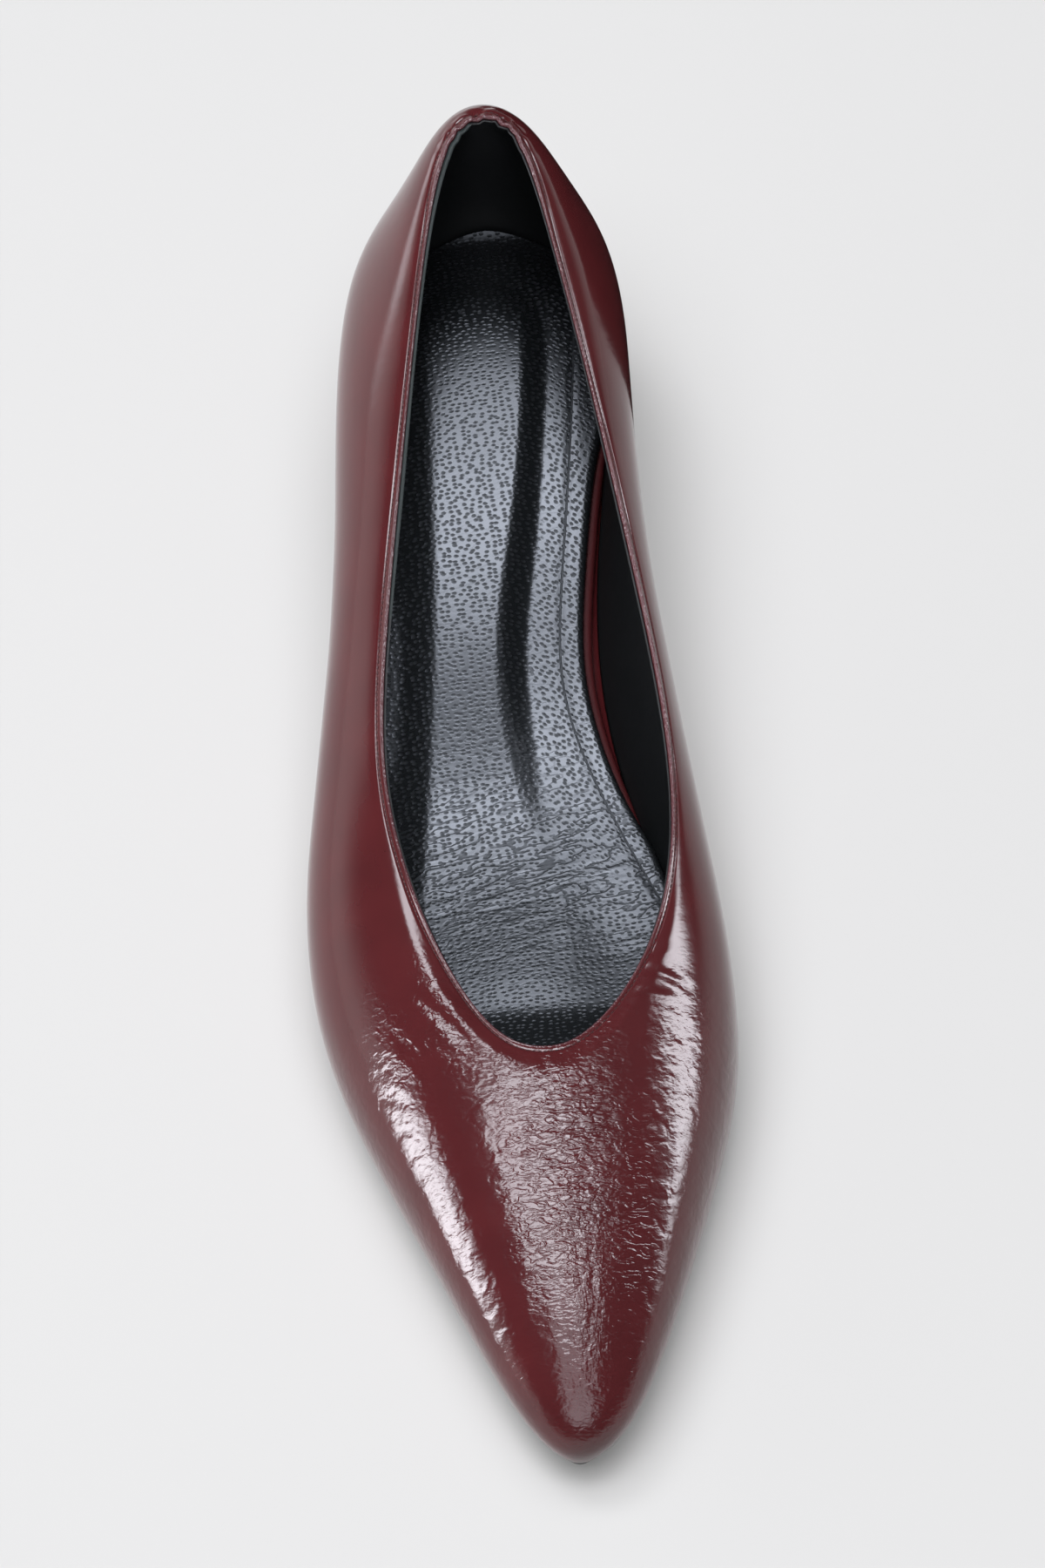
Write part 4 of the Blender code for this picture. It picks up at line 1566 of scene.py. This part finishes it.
def dim_room(stage):
    """World round the stage: as bright as the paper at its horizon, pale on the lateral side, dim above."""
    wall_side = (-0.98, 0.2, 0)
    paper = 0.8
    world = bpy.data.worlds.new("dim_room")
    world.use_nodes = True
    tree = world.node_tree
    seen = add_node(tree, "ShaderNodeLightPath").outputs["Is Camera Ray"]
    towards = add_node(tree, "ShaderNodeTexCoord").outputs["Generated"]
    height = add_node(tree, "ShaderNodeSeparateXYZ", {0: towards}).outputs["Z"]
    side = add_node(tree, "ShaderNodeVectorMath", {0: towards, 1: wall_side}, operation="DOT_PRODUCT")
    ramps = (
        (height, 0.0, 0.3, stage.horizon, stage.fill),
        (side.outputs["Value"], 0.3, 0.95, 0.0, 1.0),
        (height, 0.15, 0.6, 1.0, 0.0),
    )
    horizon, facing, below = (
        add_node(tree, "ShaderNodeMapRange", {
            "Value": value, "From Min": start, "From Max": end, "To Min": first, "To Max": last,
        }, interpolation_type="SMOOTHSTEP").outputs[0]
        for value, start, end, first, last in ramps
    )
    part = add_node(tree, "ShaderNodeMath", {0: facing, 1: below}, operation="MULTIPLY")
    room = add_node(tree, "ShaderNodeMix", {0: part.outputs[0], 2: horizon, 3: stage.wall})
    level = add_node(tree, "ShaderNodeMix", {0: seen, 2: room.outputs[0], 3: paper})
    feed(tree.nodes["Background"], {"Color": (1, 1, 1, 1), "Strength": level.outputs[0]})
    return world


def flat_sheet(name, corners, height, material):
    """Level sheet with four corners."""
    mesh = bpy.data.meshes.new(name)
    mesh.from_pydata([(x, y, height) for x, y in corners], [], [(0, 1, 2, 3)])
    mesh.materials.append(material)
    sheet = bpy.data.objects.new(name, mesh)
    bpy.context.scene.collection.objects.link(sheet)
    return sheet


def dark_flag():
    """Black flag on the paper by the medial heel: only the lacquer mirrors it, which keeps its red deep."""
    height = 0.001
    corners = ((0.03, 0.096), (0.80, 0.52), (0.80, 1.2), (0.03, 1.2))
    material, _, shader, _ = new_material("black_flag_cloth")
    feed(shader, {"Base Color": (0.004, 0.004, 0.004, 1), "Roughness": 0.9, "Specular IOR Level": 0.0})
    flag = flat_sheet("dark_flag", corners, height, material)
    flag.visible_camera = False
    flag.visible_diffuse = False
    flag.visible_shadow = False
    flag.visible_transmission = False


def hang_lamp(name, lamp, stage):
    """Soft lamp with a fading edge, at its place and with the group that it lights."""
    light = bpy.data.lights.new(name, "AREA")
    light.shape = "RECTANGLE"
    light.size = lamp.width
    light.size_y = lamp.height
    light.energy = stage.light * lamp.radiance * math.pi * lamp.width * lamp.height
    light.color = stage.lamp_colour
    fade_edges(light, lamp.edge)
    holder = bpy.data.objects.new(name, light)
    holder.location = lamp.place
    holder.rotation_mode = "QUATERNION"
    below = (*lamp.place[:2], 0)
    away = (Vector(lamp.place) - Vector(lamp.faces or below)).to_track_quat("Z", "Y")
    holder.rotation_quaternion = away @ Quaternion((0, 0, 1), math.radians(lamp.turn))
    holder.visible_glossy = lamp.mirrored
    if lamp.lights:
        holder.light_linking.receiver_collection = light_group(lamp.lights)
    bpy.context.scene.collection.objects.link(holder)


class PUMP_OT_stage(bpy.types.Operator):
    """Pale paper floor, soft lamps and the camera"""

    bl_idname = "pump.stage"
    bl_label = "Stage"

    def execute(self, context):
        scene = context.scene
        stage = scene.pump_stage
        half = 4.0
        corners = ((-half, -half), (half, -half), (half, half), (-half, half))
        floor = flat_sheet("floor", corners, 0.0, paper_floor(scene.pump_colours, stage.glow))
        light_group(ALL_BUT_PAPER, floor, "EXCLUDE")
        dark_flag()
        for name, lamp in LAMPS.items():
            hang_lamp(name, lamp, stage)
        scene.world = dim_room(stage)
        scene.view_settings.view_transform = "Standard"
        camera = bpy.data.objects.new("camera", bpy.data.cameras.new("camera"))
        camera.data.lens = stage.lens
        camera.location = stage.camera_place
        aim = Vector(stage.camera_aim) - Vector(stage.camera_place)
        camera.rotation_mode = "QUATERNION"
        camera.rotation_quaternion = aim.to_track_quat("-Z", "Y") @ Quaternion((0, 0, 1), stage.camera_roll)
        scene.collection.objects.link(camera)
        scene.camera = camera
        return {"FINISHED"}


class PUMP_PT_panel(bpy.types.Panel):
    """Lists the pump's pieces in the order in which they are made"""

    bl_idname = "PUMP_PT_panel"
    bl_label = "Low stiletto pump"
    bl_space_type = "VIEW_3D"
    bl_region_type = "UI"
    bl_category = "Pump"

    def draw(self, context):
        for operator in OPERATORS:
            self.layout.operator(operator.bl_idname)
        for group in (context.scene.pump_sizes, context.scene.pump_colours, context.scene.pump_stage):
            for name in group.bl_rna.properties.keys():
                if name not in ("rna_type", "name"):
                    self.layout.prop(group, name)


OPERATORS = (
    PUMP_OT_stage,
    PUMP_OT_upper,
    PUMP_OT_lining,
    PUMP_OT_insole,
    PUMP_OT_sock,
    PUMP_OT_stitches,
    PUMP_OT_outsole,
    PUMP_OT_heel,
    PUMP_OT_top_lift,
)
CLASSES = (PumpSizes, PumpColours, PumpStage, *OPERATORS, PUMP_PT_panel)


def register():
    for each in CLASSES:
        bpy.utils.register_class(each)
    bpy.types.Scene.pump_sizes = PointerProperty(type=PumpSizes)
    bpy.types.Scene.pump_colours = PointerProperty(type=PumpColours)
    bpy.types.Scene.pump_stage = PointerProperty(type=PumpStage)


def unregister():
    del bpy.types.Scene.pump_stage
    del bpy.types.Scene.pump_colours
    del bpy.types.Scene.pump_sizes
    for each in reversed(CLASSES):
        bpy.utils.unregister_class(each)


def main():
    """Makes the stage and the pieces in order."""
    register()
    bpy.ops.pump.stage()
    bpy.ops.pump.upper()
    bpy.ops.pump.lining()
    bpy.ops.pump.insole()
    bpy.ops.pump.sock()
    bpy.ops.pump.stitches()
    bpy.ops.pump.outsole()
    bpy.ops.pump.heel()
    bpy.ops.pump.top_lift()


if __name__ == "__main__":
    main()
